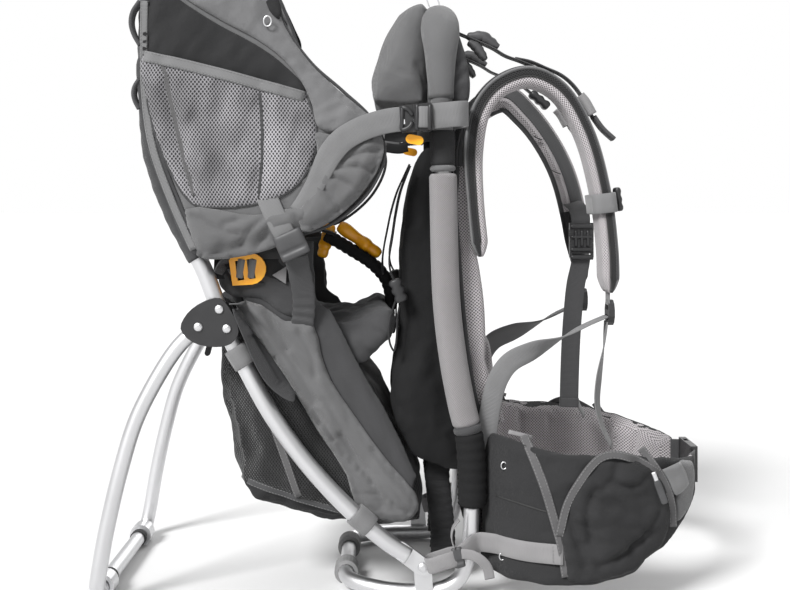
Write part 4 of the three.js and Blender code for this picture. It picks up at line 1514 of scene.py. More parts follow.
def build_seat_sides():
    """Side panels below the wings, with the long creased panel laid on them."""
    low = lambda p: 1 - ramp01(p[:, 2], 330, 370)
    base = soft("seat_side_right_cover", "seat_side_right", "mid", pressure=3, cap=3.5, shrink=3, relief=[
        creases(2.8, 50, stretch=(0.6, 1, 2.4), seed=2, turn=28, only=low),
        creases(1.8, 30, stretch=(0.6, 1, 2.6), seed=8, turn=28, only=low)])
    other = mirrored(base, "seat_side_left")
    for label, side, piece in (("right", RIGHT, base), ("left", LEFT, other)):
        tree = surface_of(piece)

        long_folds = puckered(
            (
                [(-184, 354), (-150, 322), (-120, 286), (-90, 236)],
                [(-110, 322), (-96, 296), (-90, 268)], [(-70, 256), (-56, 240), (-44, 222)],
                [(-60, 196), (-30, 150), (-8, 112)], [(-20, 178), (0, 150), (22, 130)],
                [(-150, 344), (-132, 318), (-124, 300)]
            ),
            deep=4.6, wide=3.6, amount=4.0, scale=34, stretch=(3.2, 0.8), angle=-52, seed=70 + side
        )

        laid(
            f"seat_panel_{label}",
            [
                (-190, 358), (-156, 353), (-128, 334), (-94, 330), (-84, 293), (-72, 262), (-48, 226),
                (0, 160), (31, 124), (34, 104), (18, 90), (-18, 95), (-42, 111), (-52, 146), (-88, 201),
                (-124, 262), (-154, 305)
            ],
            tree, side, "grey", lift=2.6, bulge=6.0, rim=18, wrinkle=long_folds, smooth_outline=2,
            pitch=3.5, seam=6
        )
        laid(
            f"seat_crescent_{label}",
            [
                (-186, 352), (-172, 316), (-150, 270), (-130, 250), (-112, 242), (-124, 262), (-148, 300),
                (-170, 334)
            ],
            tree, side, "mid", lift=1.4, bulge=1.6, rim=6, smooth_outline=3
        )
        laid(
            f"seat_upper_{label}",
            [
                (-208, 396), (-190, 418), (-150, 420), (-112, 424), (-104, 380), (-100, 340), (-128, 342),
                (-158, 362), (-190, 364), (-206, 376)
            ],
            tree, side, "mid", lift=0.8, bulge=0.8, rim=10,
            wrinkle=lambda p: 1.0 * folds(p, 24, stretch=(2.0, 0.8), angle=-30, seed=80 + side),
            smooth_outline=3
        )


def build_luggage_bag():
    """Net bag with a solid base and two tapes on each side."""
    bag = soft(
        "luggage_bag_cover", "luggage_bag", "luggage_net", voxel=6, pressure=4, cap=8, shrink=3,
        relief=[
            creases(3.5, 55, stretch=(1, 1, 1.6), seed=12), creases(1.2, 22, seed=14),
            groove(
                [[(-200, y, 148), (-130, y, 122), (-60, y, 96), (20, y, 84)] for y in (-101, 101)], 2.5, 4
            )
        ]
    )
    solid_base = lambda p, n: np.where(p[:, 2] < 137 - 0.33 * (p[:, 0] + 185), 1, 0)
    paint(bag, ("luggage_net", "dark"), solid_base)
    tree = surface_of(bag)
    for label, side in SIDES:
        tape(
            f"bag_tape_{label}", [(-150, 232), (-141, 199), (-123, 150), (-112, 118)], tree, side, 9,
            "binding", lift=0.8
        )
        tape(
            f"bag_edge_tape_{label}", [(-184, 139), (-140, 124), (-80, 104), (-20, 92), (24, 90)], tree,
            side, 8, "web_dark", lift=0.8
        )


def build_child_harness():
    """Padded harness strap with cross ribs, orange buckle halves, and webbing."""
    points = [(-84, 0, 436), (-52, 0, 417), (-23, 0, 398), (-5, 0, 377), (1, 0, 352), (0, 0, 340)]
    path = resample(spline([V(*p) for p in points], 10), 0.0016)

    def ribs(t):
        wave = abs(math.sin(math.pi * t * 15))
        return 1 + 0.02 * wave, 0.86 + 0.2 * wave ** 0.6

    harness = sweep(
        "child_harness_pad", path, flat_section(0.052, 0.015, 0.5), "black", (0, 1, 0), scale=ribs
    )
    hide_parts("child_harness")
    for row, y in enumerate((-48, 48)):
        strap(
            f"harness_shoulder_{row}",
            [
                (-268, y, 690), (-262, y, 640), (-252, y, 580), (-218, y, 520), (-160, y * 0.8, 470),
                (-98, y * 0.5, 446), (-74, y * 0.4, 438)
            ],
            26, "web_black", side=(0, 1, 0), thickness=4
        )
    # Buckle: two orange halves on the harness strap.
    clip = orange_clip("harness_buckle_front", (-40, 0, 429), 68, 32, 19, 36)
    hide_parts("harness_buckle")
    orange_clip("harness_buckle_rear", (-84, 0, 428), 46, 22, 18, 104)


def orange_clip(name, at, length, width, thickness, slope):
    """Side-release buckle shape: waisted body, raised lip and two spring arms."""
    rings = [
        (-0.5, 0.62, 0.5), (-0.46, 0.8, 0.85), (-0.3, 0.86, 1.0), (-0.12, 0.7, 0.8), (0.0, 0.72, 0.75),
        (0.1, 1.0, 1.0), (0.2, 1.0, 0.9), (0.24, 0.8, 0.7), (0.36, 0.86, 0.85), (0.46, 0.7, 0.7),
        (0.5, 0.5, 0.4)
    ]
    c, s = math.cos(math.radians(slope)), math.sin(math.radians(slope))
    path = np.array([list(V(at[0] + t * length * c, at[1], at[2] - t * length * s)) for t, _, _ in rings])
    ts = np.linspace(0, 1, len(rings))

    def scale(t):
        return (
            float(np.interp(t, ts, [r[1] for r in rings])), float(np.interp(t, ts, [r[2] for r in rings]))
        )

    piece = sweep(
        name, path, flat_section(width / 1000, thickness / 1000, 0.4), "orange", (0, 1, 0), scale=scale
    )
    subdivide(piece, 2)
    return piece


def build_cabin_adjusters():
    """Black webbing behind each orange lock, grey webbing laced over its bar, and a small grey tab."""
    for label, side in SIDES:
        back = [
            (-214, 113.4, 400), (-196, 113.2, 399), (-176, 113, 397), (-150, 113, 394), (-124, 113, 396)
        ]
        strap(
            f"adjuster_webbing_{label}", [(x, side * b, z) for x, b, z in back], 30, "web_black",
            side="flat", thickness=1.8
        )
        for number, x in enumerate((-181, -167)):
            run = [
                (x - 4.6, 114.4, 398.6), (x - 4, 119.4, 398.4), (x, 121.8, 398), (x + 4, 119.4, 397.4),
                (x + 4.6, 114.4, 397.2)
            ]
            strap(
                f"adjuster_lace_{label}_{number}", [(a, side * b, z) for a, b, z in run], 23, "web_grey",
                side="flat", thickness=1.6
            )
        punched(
            f"side_tab_{label}", [(8, -11), (9, 11), (-9, 0)], [], 1.6, (-134, side * 117, 390), 0, side,
            "web_light", "frame"
        )


# ---------------------------------------------------------------- wearer's side
def build_chin_pad():
    """Padded cover in front of the child."""
    soft(
        "chin_pad_cover", "chin_pad", "grey", voxel=6, pressure=4, cap=9, shrink=4,
        relief=[
            creases(2.4, 52, seed=21),
            groove(
                [
                    [(-26, s * 106, 652), (0, s * 107, 644), (30, s * 107, 632)]
                    for s in (-1, 1)
                ] + [[
                    (30, s * 108, 596), (24, s * 108, 650), (30, s * 104, 712)
                ] for s in (-1, 1)] + [[(-24, y, 640), (-4, y, 690), (26, y, 730)] for y in (-60, 60)],
                4.0, 3.6
            )
        ]
    )


def build_back_system():
    """Back panel, mesh pads, lumbar pad, zipped pocket and the webbing below it."""
    panel = soft(
        "back_panel_cover", "back_panel", "black", pressure=4, cap=5, shrink=1.5,
        relief=[
            creases(1.6, 60, seed=31),
            creases(3.2, 34, stretch=(1, 1, 1.6), seed=33, only=lambda p: ramp01(p[:, 2], 560, 620))
        ]
    )
    paint(panel, ("black", "mid"), lambda p, n: np.where(p[:, 2] > 575, 1, 0))
    pad = soft(
        "back_pad_right_cover", "back_pad_right", "air", pressure=4, cap=6, shrink=2.5,
        relief=[
            groove(
                [[(76, y, 425), (100, y, 425), (124, y, 425)] for y in (-72, -42, -12)] + [
                    [(120, -72, 425), (120, -12, 425)], [(128, -72, 314), (128, -12, 314)]
                ],
                4, 9
            )
        ]
    )
    mirrored(pad, "back_pad_left")
    soft("lumbar_pad_cover", "lumbar_pad", "air", pressure=4, cap=6, shrink=3, relief=[
        groove([[(137, y, 60), (137, y, 190)] for y in (-30, 30)], 3, 6)])
    soft(
        "back_pocket_cover", "back_pocket", "black", voxel=6, pressure=4, cap=8, shrink=3,
        relief=[creases(3.4, 70, stretch=(1, 1, 2.4), seed=41), creases(1.4, 26, seed=43)],
    )
    # Black webbing of the seat's height strap, hanging below the pocket.
    for number, y in enumerate((-62, -36, 36, 62)):
        path = spline([V(x, y, z) for x, z in ((62, 168), (60, 130), (64, 92), (67, 58), (66, 36))], 12)
        ladder = lambda t: (1.0 + 0.03 * math.sin(t * 90), 1.0 + 0.5 * max(0, math.sin(t * 90)))
        sweep(
            f"height_webbing_{number + 1}", path, flat_section(0.030, 0.004), "web_black", (1, 0, 0),
            scale=ladder
        )
    # Flat mesh side strips and piping between the sleeve and the pads.
    for label, side in SIDES:
        line = [(82, 522), (80, 470), (83, 420), (88, 361), (94, 300), (104, 240), (116, 205)]
        path = metres([(x, side * 105, z) for x, z in spline(line, 8)])
        sweep(f"pad_piping_{label}", path, round_section(0.0032, 12), "mid", (0, 1, 0))
        path = metres([(x + 12, side * 98, z) for x, z in spline(line, 8)])
        lobes = lambda t: (0.62 + 0.5 * abs(math.sin(math.pi * (2.6 * t + 0.15))) ** 0.7,) * 2
        sweep(f"pad_edge_{label}", path, flat_section(0.026, 0.014, 0.6), "air", (1, 0, 0), scale=lobes)


def build_sleeves():
    """Padding and cuffs round the front hoop's uprights."""
    whole = resample(spline([V(*p) for p in FRONT_HOOP], 14), 0.0025)
    z = whole[:, 2] * 1000
    for label, side in SIDES:
        for name, low, high, radius, look in (
            ("frame_sleeve_cover", 210, 514, 16.8, "sleeve"), ("sleeve_band", 513, 523, 15.6, "grey"),
            ("sleeve_cuff", 522, 566, 15.2, "dark"), ("sleeve_band_low", 199, 212, 17.4, "mid"),
            ("hoop_fabric_low", 112, 201, 17.2, "black"), ("hoop_fabric_high", 560, 720, 13.2, "grey"),
        ):
            path = whole[(z >= low) & (z <= high) & (whole[:, 1] > 0.04)].copy()
            path[:, 1] *= side

            def roll(t):
                end = min(t, 1 - t) * len(path) * 2.5 / 4
                folds_here = 0.05 * math.sin(31 * t) * math.sin(77 * t) if name.startswith("hoop") else 0
                f = (1 if end > 1 else 0.86 + 0.14 * math.sqrt(max(end, 0))) + folds_here
                return f, f

            piece = sweep(
                f"{name}_{label}", path, round_section(radius / 1000, 28), look, (1, 0, 0), scale=roll
            )
            if name == "frame_sleeve_cover":
                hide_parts(f"frame_sleeve_{label}")


def strap_frame(side, twist_degrees):
    """Path of one shoulder strap with its across directions, in metres."""
    back = [(111, 98, 412), (104, 98, 481), (102, 98, 542), (111, 97, 590)]
    front = {
        RIGHT: [
            (134, 94, 619), (171, 90, 632), (207, 88, 615), (238, 89, 565), (258, 91, 493), (267, 93, 420)
        ],
        LEFT: [
            (133, 94, 613), (160, 90, 622), (187, 88, 600), (214, 88, 566), (239, 89, 518), (257, 92, 450)
        ],
    }
    path = spline([V(x, side * y, z) for x, y, z in back + front[side] + [(268, 95, 368)]], 12)
    count = len(path)
    along = tangents(path)
    across = np.tile(np.array([0.0, 1.0, 0.0]), (count, 1))
    normal = np.cross(across, along)
    normal /= np.linalg.norm(normal, axis=1, keepdims=True)
    run = run_along(path)
    t = run / run[-1]
    hold = ramp01(t, 0.25, 0.5) * (1 - ramp01(t, 0.86, 1))
    twist = (math.radians(twist_degrees) * hold * -side)[:, None]
    u = across * np.cos(twist) + normal * np.sin(twist)
    v = normal * np.cos(twist) - across * np.sin(twist)
    return path, u, v, t


def depth(t):
    """How thick a shoulder strap is along its length: fullest over the shoulder."""
    return 0.84 + 0.16 * (ramp01(t, 0.1, 0.3) * (1 - ramp01(t, 0.42, 0.6)))


def ribbon(
    name, path, u, v, low, high, inner, outer, material, t, width=None, rounding=0.35, body="frame"
):
    """Swept pad: from low to high across, and from inner to outer along v, with rounded corners, in mm."""
    half, middle = (high - low) / 2, (high + low) / 2
    thick, centre = (outer - inner) / 2, (outer + inner) / 2
    radius = min(half, thick) * rounding * 2
    section = rounded_rectangle(2 * half, 2 * thick, radius, 6)
    dense = []
    for a, b in zip(section, section[1:] + section[:1]):
        gap = math.hypot(b[0] - a[0], b[1] - a[1])
        parts = max(1, int(gap / 5))
        dense += [
            (a[0] + (b[0] - a[0]) * i / parts, a[1] + (b[1] - a[1]) * i / parts)
            for i in range(parts)
        ]
    verts, uvs, faces = [], [], []
    run = run_along(path)
    girths = run_along(np.array(dense))
    for i in range(len(path)):
        f = width(t[i]) if width else 1.0
        end = min(t[i], 1 - t[i])
        tip = math.sqrt(min(1, end / 0.035 + 0.08)) if end < 0.035 else 1
        for (a, b), g in zip(dense, girths):
            across, out = (middle + a) * f * (0.6 + 0.4 * tip), (centre + b) * tip * depth(t[i])
            verts.append(path[i] + u[i] * across / 1000 + v[i] * out / 1000)
            uvs.append((run[i], g / 1000))
    n = len(dense)
    for i in range(len(path) - 1):
        for k in range(n):
            m = (k + 1) % n
            faces.append((i * n + k, i * n + m, (i + 1) * n + m, (i + 1) * n + k))
    faces.append(tuple(range(n - 1, -1, -1)))
    faces.append(tuple((len(path) - 1) * n + k for k in range(n)))
    return finish_mesh(name, verts, faces, material, uvs, body=body)


def build_shoulder_straps():
    """Mesh pad, side and outer fabric of each strap; the left one hangs twisted."""
    for label, side, twist in (("right", RIGHT, 0), ("left", LEFT, 48)):
        path, u, v, t = strap_frame(side, twist)
        slim = 0.12 if twist else -0.14
        narrow = lambda a: 0.86 - slim * ramp01(a, 0.28, 0.42)
        pad = ribbon(f"shoulder_strap_{label}_pad", path, u, v, -25, 25, -2, 12, "air", t, narrow, 0.5)
        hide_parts(f"shoulder_strap_{label}")
        rim = ribbon(
            f"shoulder_strap_{label}_side", path, u, v, -25.6, 25.6, -9, 0.2, "strap_face", t, narrow,
            0.25
        )
        cover = ribbon(
            f"shoulder_strap_{label}_cover", path, u, v, -25.2, 25.2, -12.2, -8.2, "grey_light", t,
            narrow, 0.45
        )
        if twist:
            show_both_faces(path, t, (pad, rim, cover))
        wide = np.array([narrow(a) for a in t])[:, None]
        thick = np.array([depth(a) for a in t])[:, None]
        keep = (t > 0.03) & (t < 0.97)
        for row, edge in enumerate(() if twist else (-1, 1)):
            for level, height in enumerate((0.0002, -0.0086)):
                rail = path + u * (edge * 0.0254) * wide + v * height * thick
                sweep(
                    f"shoulder_strap_{label}_piping_{row + 1}_{level + 1}", rail[keep],
                    round_section(0.0011, 8), "mid" if level else "thread_dark", (0, 1, 0)
                )
        web = path - v * 0.0132 * thick
        keep = (t > 0.34) & (t < 0.97)
        sweep(
            f"shoulder_strap_{label}_webbing", web[keep], flat_section(0.025, 0.0022), "web_dark", u[keep]
        )
        # Stitched slots and a bar tack or two along the twisted strap's dark half.
        if twist:
            for number, at in enumerate((0.60, 0.70)):
                i = int(np.abs(t - at).argmin())
                place = path[i] + np.array([-0.009, -0.0235, -0.003])
                bar = [place + np.array([-0.006, 0, 0.003]), place, place + np.array([0.006, 0, -0.002])]
                sweep(
                    f"strap_slot_{number + 1}", spline(bar, 4), flat_section(0.003, 0.0014),
                    "thread_dark", (0, 1, 0)
                )


def show_both_faces(path, t, pieces):
    """The twisted strap: fabric on the half towards the wearer's body, mesh on the half away from it."""
    along = tangents(path)
    for piece in pieces:
        mesh = piece.data
        mesh.materials.clear()
        for look in ("air", "mid", "dark"):
            mesh.materials.append(MATERIALS[look])
        for polygon in mesh.polygons:
            centre = np.array(polygon.center)
            i = int(((path - centre) ** 2).sum(axis=1).argmin())
            across = np.cross(along[i], (0.0, 1.0, 0.0))
            offset = float((centre - path[i]) @ across)
            shown = 2 if t[i] > 0.80 else (1 if offset < -0.013 else 0)
            polygon.material_index = shown if t[i] > 0.4 else (0 if piece is pieces[0] else 1)


def build_small_straps():
    """Load lifters with their grips, adjusters, keepers and tails."""
    for label, side in SIDES:
        y = side * 90
        # Load lifter: grip on the hoop, webbing to the strap, adjuster, keeper and tail.
        strap(
            f"load_lifter_{label}",
            [
                (76, y, 690), (100, y, 680), (127, y, 668), (142, y, 659), (161, y, 652), (179, y, 644),
                (197, y, 630)
            ],
            20, "web_dark", thickness=1.8
        )
        strap(
            f"load_lifter_tail_{label}",
            [
                (154, y, 656), (173, y, 652), (192, y, 644), (210, y, 636), (223, y, 626), (235, y, 611),
                (247, y, 588), (260, y, 570), (275, y, 557)
            ],
            18, "web_dark", thickness=2.2
        )
        grip(f"lifter_grip_{label}_upper", (95, 683), (134, 669), y, 14, 0.013)
        grip(f"lifter_grip_{label}_lower", (96, 676), (118, 653), y + side * 4, 9, 0.011)
        buckle_block(f"lifter_adjuster_{label}", (208, y, 621), 33, 26, 13, 40)
        strap(
            f"lifter_keeper_{label}", [(233, y, 609), (239, y, 602), (248, y, 586)], 27, "web_light",
            thickness=13
        )
        strap(
            f"lifter_hem_{label}", [(251, y, 584), (262, y, 569), (276, y, 556)], 20, "web_dark",
            thickness=5.5
        )


def grip(name, a, b, y, high, thickness):
    """Moulded finger grip with ribs, a few millimetres proud of its webbing."""
    path = resample(
        metres(
            [(a[0], y, a[1]), ((a[0] + b[0]) / 2, y, (a[1] + b[1]) / 2 + high * 0.5), (b[0], y, b[1])]
        ),
        0.002
    )

    def shape(t):
        bulk = math.sin(math.pi * min(1, max(0, 0.08 + 0.84 * t))) ** 0.5
        return 0.75 + 0.25 * bulk, bulk * (1 + 0.1 * math.sin(t * 26))

    return subdivide(
        sweep(name, path, flat_section(0.022, thickness, 0.5), "grey_plastic", (0, 1, 0), scale=shape)
    )


def buckle_block(name, at, length, width, thickness, slope, material="plastic", body="frame"):
    """Ladder buckle seen from its edge: two raised cross bars between side rails."""
    c, s = math.cos(math.radians(slope)), math.sin(math.radians(slope))
    stations = np.linspace(-0.5, 0.5, 15)
    path = np.array([list(V(at[0] + t * length * c, at[1], at[2] - t * length * s)) for t in stations])

    def shape(t):
        return 1 - 0.12 * abs(2 * t - 1) ** 4, 0.62 + 0.38 * abs(math.sin(t * 3 * math.pi))

    return subdivide(
        sweep(
            name, path, flat_section(width / 1000, thickness / 1000, 0.35), material, (0, 1, 0),
            scale=shape, body=body
        )
    )


def build_chest_strap():
    """Chest strap: band, buckle bars and prongs, hanging tail and the web to the left strap."""
    # Webbing band round the right strap, with a knob on its outer side.
    tilt = (0.9925, 0.1224)
    ring = [(x * tilt[0] + 260.5, y - 91.5, 477 + x * tilt[1]) for x, y in rounded_rectangle(28, 61, 9)]
    band = spline([V(*p) for p in ring], 2, closed=True)
    band = looped(band)
    slider = sweep(
        "sternum_band", band, flat_section(0.024, 0.0026), "web_grey", (-tilt[1], 0, tilt[0]),
        closed=True, body="sternum_slider"
    )
    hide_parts("sternum_slider_right")
    buckle_block("sternum_knob", (280, -98, 482), 30, 18, 9, 82, body="sternum_slider")
    route = [
        (257, 34, 405), (255, 34, 392), (250, 34, 370), (246, 33, 335), (243, 32, 295), (241, 31, 250),
        (240, 31, 206)
    ]
    tail = strap(
        "sternum_tail", route, 25, "web_dark", side=(1, 0, 0), thickness=1.9, body="sternum_tongue"
    )
    hem = strap(
        "sternum_hem", [(240.5, 31, 216), (240, 31, 204)], 26, "web_dark", side=(1, 0, 0), thickness=5,
        body="sternum_tongue"
    )
    strap(
        "sternum_left_web",
        [(256, 35, 446), (257, 38, 458), (255, 50, 470), (252, 66, 476), (250, 84, 478)], 25, "web_dark",
        side=(1, 0, 0.2), thickness=2
    )
    for label, z, width, high, body in (
        ("rail_top", 432, 30, 5, "frame"), ("rail_low", 446, 31, 6, "frame"),
        ("lip", 415, 30, 6, "sternum_tongue"), ("bar", 405, 30, 7, "sternum_tongue")
    ):
        path = resample(metres([(257 - width / 2, 29, z), (257 + width / 2, 29, z)]), 0.003)
        sweep(f"sternum_{label}", path, round_section(high / 2000, 14), "plastic", (0, 0, 1), body=body)
    for number, x in enumerate((249, 257, 265)):
        path = resample(metres([(x, 29.2, 419), (x, 28.4, 428), (x, 29, 441)]), 0.003)
        sweep(f"sternum_prong_{number + 1}", path, round_section(0.0021, 12), "plastic", (1, 0, 0))


def build_lower_straps():
    """Webbing from each shoulder strap's adjuster to the hip belt."""
    for label, side in SIDES:
        y = side * 95
        strap(
            f"adjuster_lead_{label}", [(268, y, 380), (268, y, 366), (268, y, 352)], 22, "web_grey",
            thickness=2
        )
        lower = strap(
            f"lower_strap_{label}",
            [
                (266, y, 338), (240, side * 97, 327), (207, side * 101, 310), (172, side * 106, 296),
                (146, side * 110, 283), (131, side * 112, 262), (122, side * 113, 228),
                (117, side * 113, 190), (113, side * 112, 150)
            ],
            25, "web_grey", side={0: (0, 1, 0), 0.12: (0, 1, 0), 0.5: "flat", 1: "flat"}, thickness=2,
            body=None, steps=10
        )
        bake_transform(lower)
        route = [
            (266, y, 332), (263, y, 300), (257, y * 1.01, 262), (255, y * 1.02, 230),
            (262, y * 1.03, 200), (272, y * 1.03, 180)
        ]
        tail = strap(
            f"strap_tail_{label}", route, 20, "web_grey",
            side={0: (0, 1, 0), 0.5: (0.5, 0.86, 0), 1: (0.3, 0.95, 0)}, thickness=1.8, body=None
        )
        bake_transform(tail)


def build_hip_belt():
    """Hip fins with their pockets, tapes and seams; the left one mirrors the right one."""
    stations = [
        (122.5, 89, 36, 202), (129, 112, 30, 204), (146, 140, 26, 204), (182, 165, 26, 197),
        (230, 174, 30, 191), (280, 163, 42, 188), (322, 138, 62, 182), (352, 104, 86, 173),
        (372, 68, 104, 166), (381, 44, 116, 162)
    ]

    def outer(points):
        return ramp01(-points[:, 1], 120, 150)

    fin = soft(
        "hip_fin_right_cover", "hip_fin_right", "dark", pressure=4.5, cap=8, shrink=3,
        relief=[
            creases(2.6, 46, stretch=(1.5, 1.5, 0.8), seed=51),
            creases(
                3.0, 34, stretch=(1.4, 1.4, 0.7), seed=57,
                only=lambda p: outer(p) * (1 - ramp01(np.abs(p[:, 0] - 250), 55, 85))
            )
        ]
    )
    centre = np.array([[x, -y] for x, y, _, _ in stations], float)

    def inner_face(p, n):
        t = np.gradient(centre, axis=0)
        best = ((p[:, None, :2] - centre[None]) ** 2).sum(axis=2).argmin(axis=1)
        inward = np.stack([-t[best, 1], t[best, 0]], axis=1)
        inward /= np.linalg.norm(inward, axis=1, keepdims=True)
        return np.where((n[:, :2] * inward).sum(axis=1) > 0.35, 1, 0)

    paint(fin, ("dark", "air"), inner_face)
    other = mirrored(fin, "hip_fin_left")
    for label, piece in (("right", fin), ("left", other)):
        side = RIGHT if label == "right" else LEFT
        tree = surface_of(piece)
        slack = puckered(
            (
                [(262, 176), (258, 160), (244, 148)], [(300, 160), (282, 150), (262, 152)],
                [(236, 150), (226, 120), (232, 92)], [(318, 120), (292, 84), (262, 66)],
                [(240, 60), (270, 74), (310, 92)], [(206, 120), (214, 90), (224, 60)]
            ),
            deep=5.4, wide=5.0, amount=4.5, scale=34, stretch=(2.0, 0.9), angle=-38, seed=61 + side
        )

        laid(
            f"fin_pocket_{label}",
            [
                (196, 100), (208, 138), (228, 170), (245, 184), (262, 186), (285, 180), (306, 169),
                (322, 150), (331, 122), (332, 98), (318, 70), (290, 54), (262, 46), (232, 41), (206, 42),
                (200, 74)
            ],
            tree, side, "dark", lift=0.7, bulge=7.5, rim=40, wrinkle=slack, pitch=4, smooth_outline=3
        )
        tape(
            f"fin_tape_rear_{label}", [(158, 203), (179, 147), (191, 106), (198, 80), (203, 46)], tree,
            side, 10.5, "binding", lift=2.4
        )
        tape(
            f"fin_tape_arch_{label}",
            [
                (195, 94), (205, 134), (225, 168), (242, 184), (260, 188), (280, 182), (297, 173),
                (316, 160)
            ],
            tree, side, 9.5, "binding", lift=4.0
        )
        tape(
            f"fin_tape_front_{label}", [(296, 188), (311, 168), (325, 146), (334, 122), (337, 92)], tree,
            side, 9, "binding", lift=4.0
        )
        tape(
            f"fin_seam_{label}", [(126, 128), (150, 125), (184, 119)], tree, side, 2.0, "thread_dark",
            lift=0.6, stitched=False
        )
        tape(
            f"fin_top_tape_{label}", [(140, 207), (152, 204), (168, 200)], tree, side, 5, "web_light",
            lift=1.2, stitched=False
        )
        build_stabiliser(label, side, tree)
        build_fin_front(label, side, tree)


def build_stabiliser(label, side, tree):
    """Light webbing from the hip fin through a ladder lock to the frame's lower rivet."""
    path = metres(
        on_side(tree, resample(spline([(122, 71), (150, 71), (176, 71.5), (199, 72)], 6), 5), side, 2.4)
    )
    lead = spline([V(82, side * 147, 62), V(92, side * 143, 67), V(106, side * 132, 71)], 6)
    path = resample(spline(np.vstack([lead, path[1:]]), 3), 0.004)
    wide = lambda t: (0.72 + 0.28 * ramp01(t, 0.02, 0.2), 1.0)
    sweep(
        f"fin_band_{label}", path, flat_section(0.0235, 0.002), "web_light", flatways(path, side),
        scale=wide
    )
    rail = path[-4:-2] + np.array([0, side * 0.0014, 0])
    rail[:, 2] += np.array([0.010, -0.010])
    rail[:, 0] = rail[0, 0]
    stitches(f"fin_band_stitch_{label}", rail, "thread", lift=(0, side, 0))
    ring = [
        (84, 141, 58), (76, 149, 56), (62, 150.5, 52), (49, 148, 47), (43.5, 138, 45), (48, 127.5, 46),
        (62, 125, 50), (76, 128, 55)
    ]
    loop = spline([V(x, side * y, z) for x, y, z in ring], 5, closed=True)
    loop = looped(loop)
    sweep(
        f"stabiliser_loop_{label}", loop, flat_section(0.019, 0.0018), "web_light", (-0.28, 0, 0.96),
        closed=True
    )
    slide_buckle(f"stabiliser_lock_{label}", (81, side * 147, 57), 13, 25, 7, -14)
    strap(
        f"stabiliser_tail_{label}",
        [
            (84, side * 149, 62), (97, side * 152, 61), (108, side * 153, 55), (115, side * 152, 46),
            (118, side * 151, 33)
        ],
        12, "web_light", side="flat", thickness=1.8
    )
    strap(
        f"stabiliser_end_{label}",
        [(76, side * 146, 69), (73, side * 146, 80), (75, side * 145, 92), (82, side * 144, 101)], 14,
        "web_light", side=(0, 1, 0), thickness=1.6
    )
    for number, (x, z) in enumerate(((133, 58), (135, 166))):
        spot = on_side(tree, [(x, z)], side, 1.5)[0]
        ring = [(x + 3.2 * math.cos(a), spot[1], z + 4.2 * math.sin(a)) for a in turn_angles(12)]
        cord(f"fin_eyelet_{label}_{number}", ring, 1.6, "steel", closed=True)


def build_fin_front(label, side, tree):
    """Elastic band and padded end in front of the pocket, and the belt webbing."""
    laid(
        f"fin_end_{label}",
        [
            (350, 166), (360, 164), (370, 160), (376, 150), (377, 130), (372, 116), (358, 102), (344, 96),
            (340, 118), (344, 150)
        ],
        tree, side, "grey", lift=1.0, bulge=5, rim=12,
        wrinkle=lambda p: 1.6 * folds(p, 18, seed=44 + side), smooth_outline=3, pitch=4
    )
    laid(f"belt_elastic_{label}", [
        (320, 164), (334, 166), (348, 167), (356, 154), (362, 137), (352, 133), (338, 130), (330, 148),
    ], tree, side, "web_grey", lift=7.5, bulge=0.8, rim=5, smooth_outline=0, pitch=4)
    if side == RIGHT:
        points = [(381, -46, 139), (388, -36, 139.5), (392.5, -28, 140), (393.5, -22, 140)]
        web = strap(
            "belt_webbing_right", points, 38, "web_dark", side=(0, 0, 1), thickness=2.2, body=None
        )
        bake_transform(web)
    else:
        points = [(381, 46, 139), (388, 42, 139.5), (393, 38, 140), (393.5, 33, 140)]
        strap("belt_webbing_left", points, 38, "web_dark", side=(0, 0, 1), thickness=2.2)


def build_zip_pull():
    """Metal slider head and a long moulded grip, in place of the plain pull."""
    low, high = (np.array(corner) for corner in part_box("zip_pull"))
    near = low[1] - 0.0022
    top, end = np.array([low[0] + 0.002, near, high[2]]), np.array(
        [high[0] - 0.003, near, low[2] + 0.003]
    )
    path = np.array([top + (end - top) * t for t in np.linspace(0.2, 1, 18)])
    ridges = lambda t: (
        0.8 + 0.2 * ramp01(t, 0, 0.2) - 0.3 * ramp01(t, 0.93, 1), 0.85 + 0.15 * math.sin(42 * t) ** 2
    )
    grip_piece = sweep(
        "zip_pull_grip", path, flat_section(0.0085, 0.0034, 0.45), "grey_plastic", (0.9, 0, 0.4),
        scale=ridges, body="zip_pull"
    )
    subdivide(grip_piece)
    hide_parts("zip_pull")
    head = np.array([top + (end - top) * t for t in np.linspace(-0.05, 0.26, 8)])
    sweep(
        "zip_pull_head", head, flat_section(0.0052, 0.0028, 0.45), "steel", (0.9, 0, 0.4), body="zip_pull"
    )


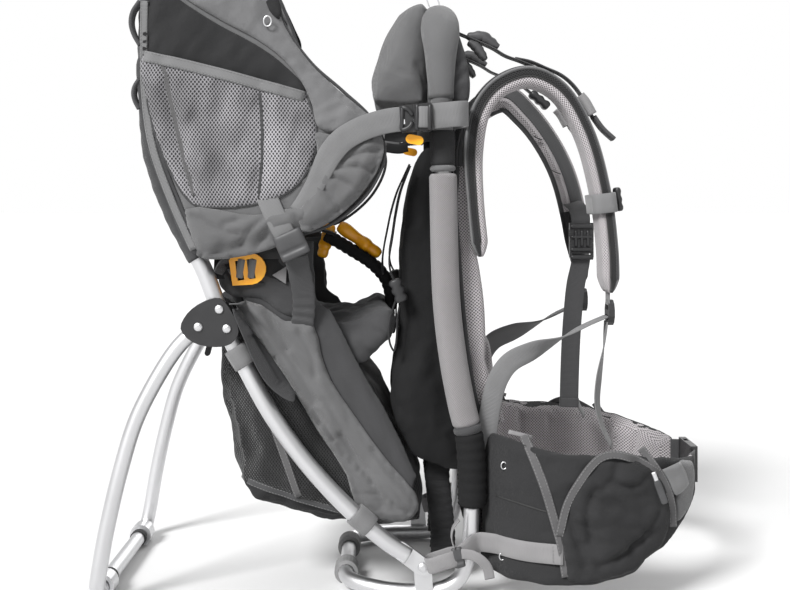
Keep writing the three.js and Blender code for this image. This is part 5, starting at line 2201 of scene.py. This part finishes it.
def build_cords():
    """Draw cords with their locks beside the back panel, and the lamp hook with its elastic cord."""
    for label, side in SIDES:
        routes = (
            [
                (24, 97, 525), (17, 98, 510), (9, 97, 492), (1, 92, 465), (-4, 82, 441), (-8, 62, 420),
                (-10, 40, 400), (-9, 26, 386)
            ],
            [
                (25, 98, 523), (19, 100, 508), (13, 101, 491), (7, 101.5, 462), (3, 102, 435),
                (-1, 102, 408), (1, 101.5, 392), (7, 101, 380)
            ],
            [
                (8, 101, 360), (3, 101.5, 346), (-1, 101, 325), (0, 100.5, 305), (5, 100, 296),
                (8, 100.5, 312), (9, 101, 336), (13, 101, 358)
            ]
        )
        for number, route in enumerate(routes):
            points = [(x, side * b, z) for x, b, z in route]
            cord(f"pocket_cord_{label}_{number + 1}", points, 2.6)
        buckle_block(f"cord_lock_{label}", (10, side * 101, 370), 30, 17, 17, 70)
        sweep(
            f"cord_lock_button_{label}",
            resample(metres([(2, side * 101, 380), (10, side * 101, 378)]), 0.002),
            round_section(0.005, 14), "plastic", (0, 0, 1)
        )
    hook = [
        (46, -62, 742), (49, -64, 726), (56, -64, 716), (62, -63, 722), (60, -62, 734), (52, -60, 744)
    ]
    cord("lamp_hook", hook, 1.6, "steel", closed=True)
    line = [
        (60, -64, 712), (68, -72, 700), (78, -84, 686), (86, -95, 670), (90, -104, 654), (91, -109, 640)
    ]
    cord("bungee", line, 4.0, "bungee")


def build_top_cover():
    """Fabric hood over the front hoop's crossbar and its two bends."""
    whole = resample(
        spline(
            [V(x, -y, z) for x, y, z in FRONT_HOOP] + [V(x, y, z) for x, y, z in FRONT_HOOP[:-1]][::-1],
            10
        ),
        0.006
    )
    path = whole[whole[:, 2] > 0.600]

    def shape(t):
        end = ramp01(min(t, 1 - t), 0.0, 0.24)
        fold = 0.03 * math.sin(t * 40) * end
        return 0.56 + 0.30 * end + fold, 0.56 + 0.34 * end + fold

    out = np.array([[1.0, 0.0, 0.0]] * len(path))
    section = [(0.027 * math.cos(a), 0.024 * math.sin(a)) for a in turn_angles(28)]
    sweep("hoop_top_cover", path, section, "grey", out, scale=shape)
    for label, side in SIDES:
        sheet_panel(
            f"hood_side_{label}",
            [
                (72, 700), (84, 676), (93, 646), (96, 616), (92, 598), (76, 598), (70, 606), (72, 640),
                (70, 668), (62, 690)
            ],
            side_map(side, 117),
            lambda p, d: 4 * crown(d, 12) + 2 * folds(p, 22, stretch=(0.7, 2), angle=-60, seed=90 + side),
            "mid", pitch=4, thickness=3, smooth_outline=3
        )


def build_frame_loops():
    """Webbing loops round the rear hoop that hold the side panels."""
    for label, side in SIDES:
        for number, (x, y, z, dx, dz) in enumerate(
            ((-180, 128.6, 293, -0.53, 0.85), (-33, 134.8, 98, -0.75, 0.66))
        ):
            along = np.array([dx, 0, dz])
            normal = np.cross(along, (0, 1, 0))
            centre = np.array([x, side * y, z], float)
            ring = [
                centre + 13 * math.cos(a) * normal + np.array([0, 13 * math.sin(a), 0])
                for a in turn_angles(32)
            ]
            path = metres(spline(ring, 2, closed=True))
            path = looped(path)
            sweep(
                f"hoop_loop_{label}_{number}", path, flat_section(0.026, 0.0022), "web_grey",
                tuple(along), closed=True
            )


build_stage()
build_materials()
dress_nodes()
build_tubes()
build_wing()
build_cabin_inside()
build_seat_sides()
build_luggage_bag()
build_child_harness()
build_cabin_adjusters()
build_chin_pad()
build_back_system()
build_sleeves()
build_shoulder_straps()
build_small_straps()
build_chest_strap()
build_lower_straps()
build_hip_belt()
build_zip_pull()
build_cords()
build_top_cover()
build_frame_loops()

low, high = CAD_BOX
new_low, new_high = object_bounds()
{"cad": [list(low), list(high)], "visual": [list(new_low), list(new_high)]}
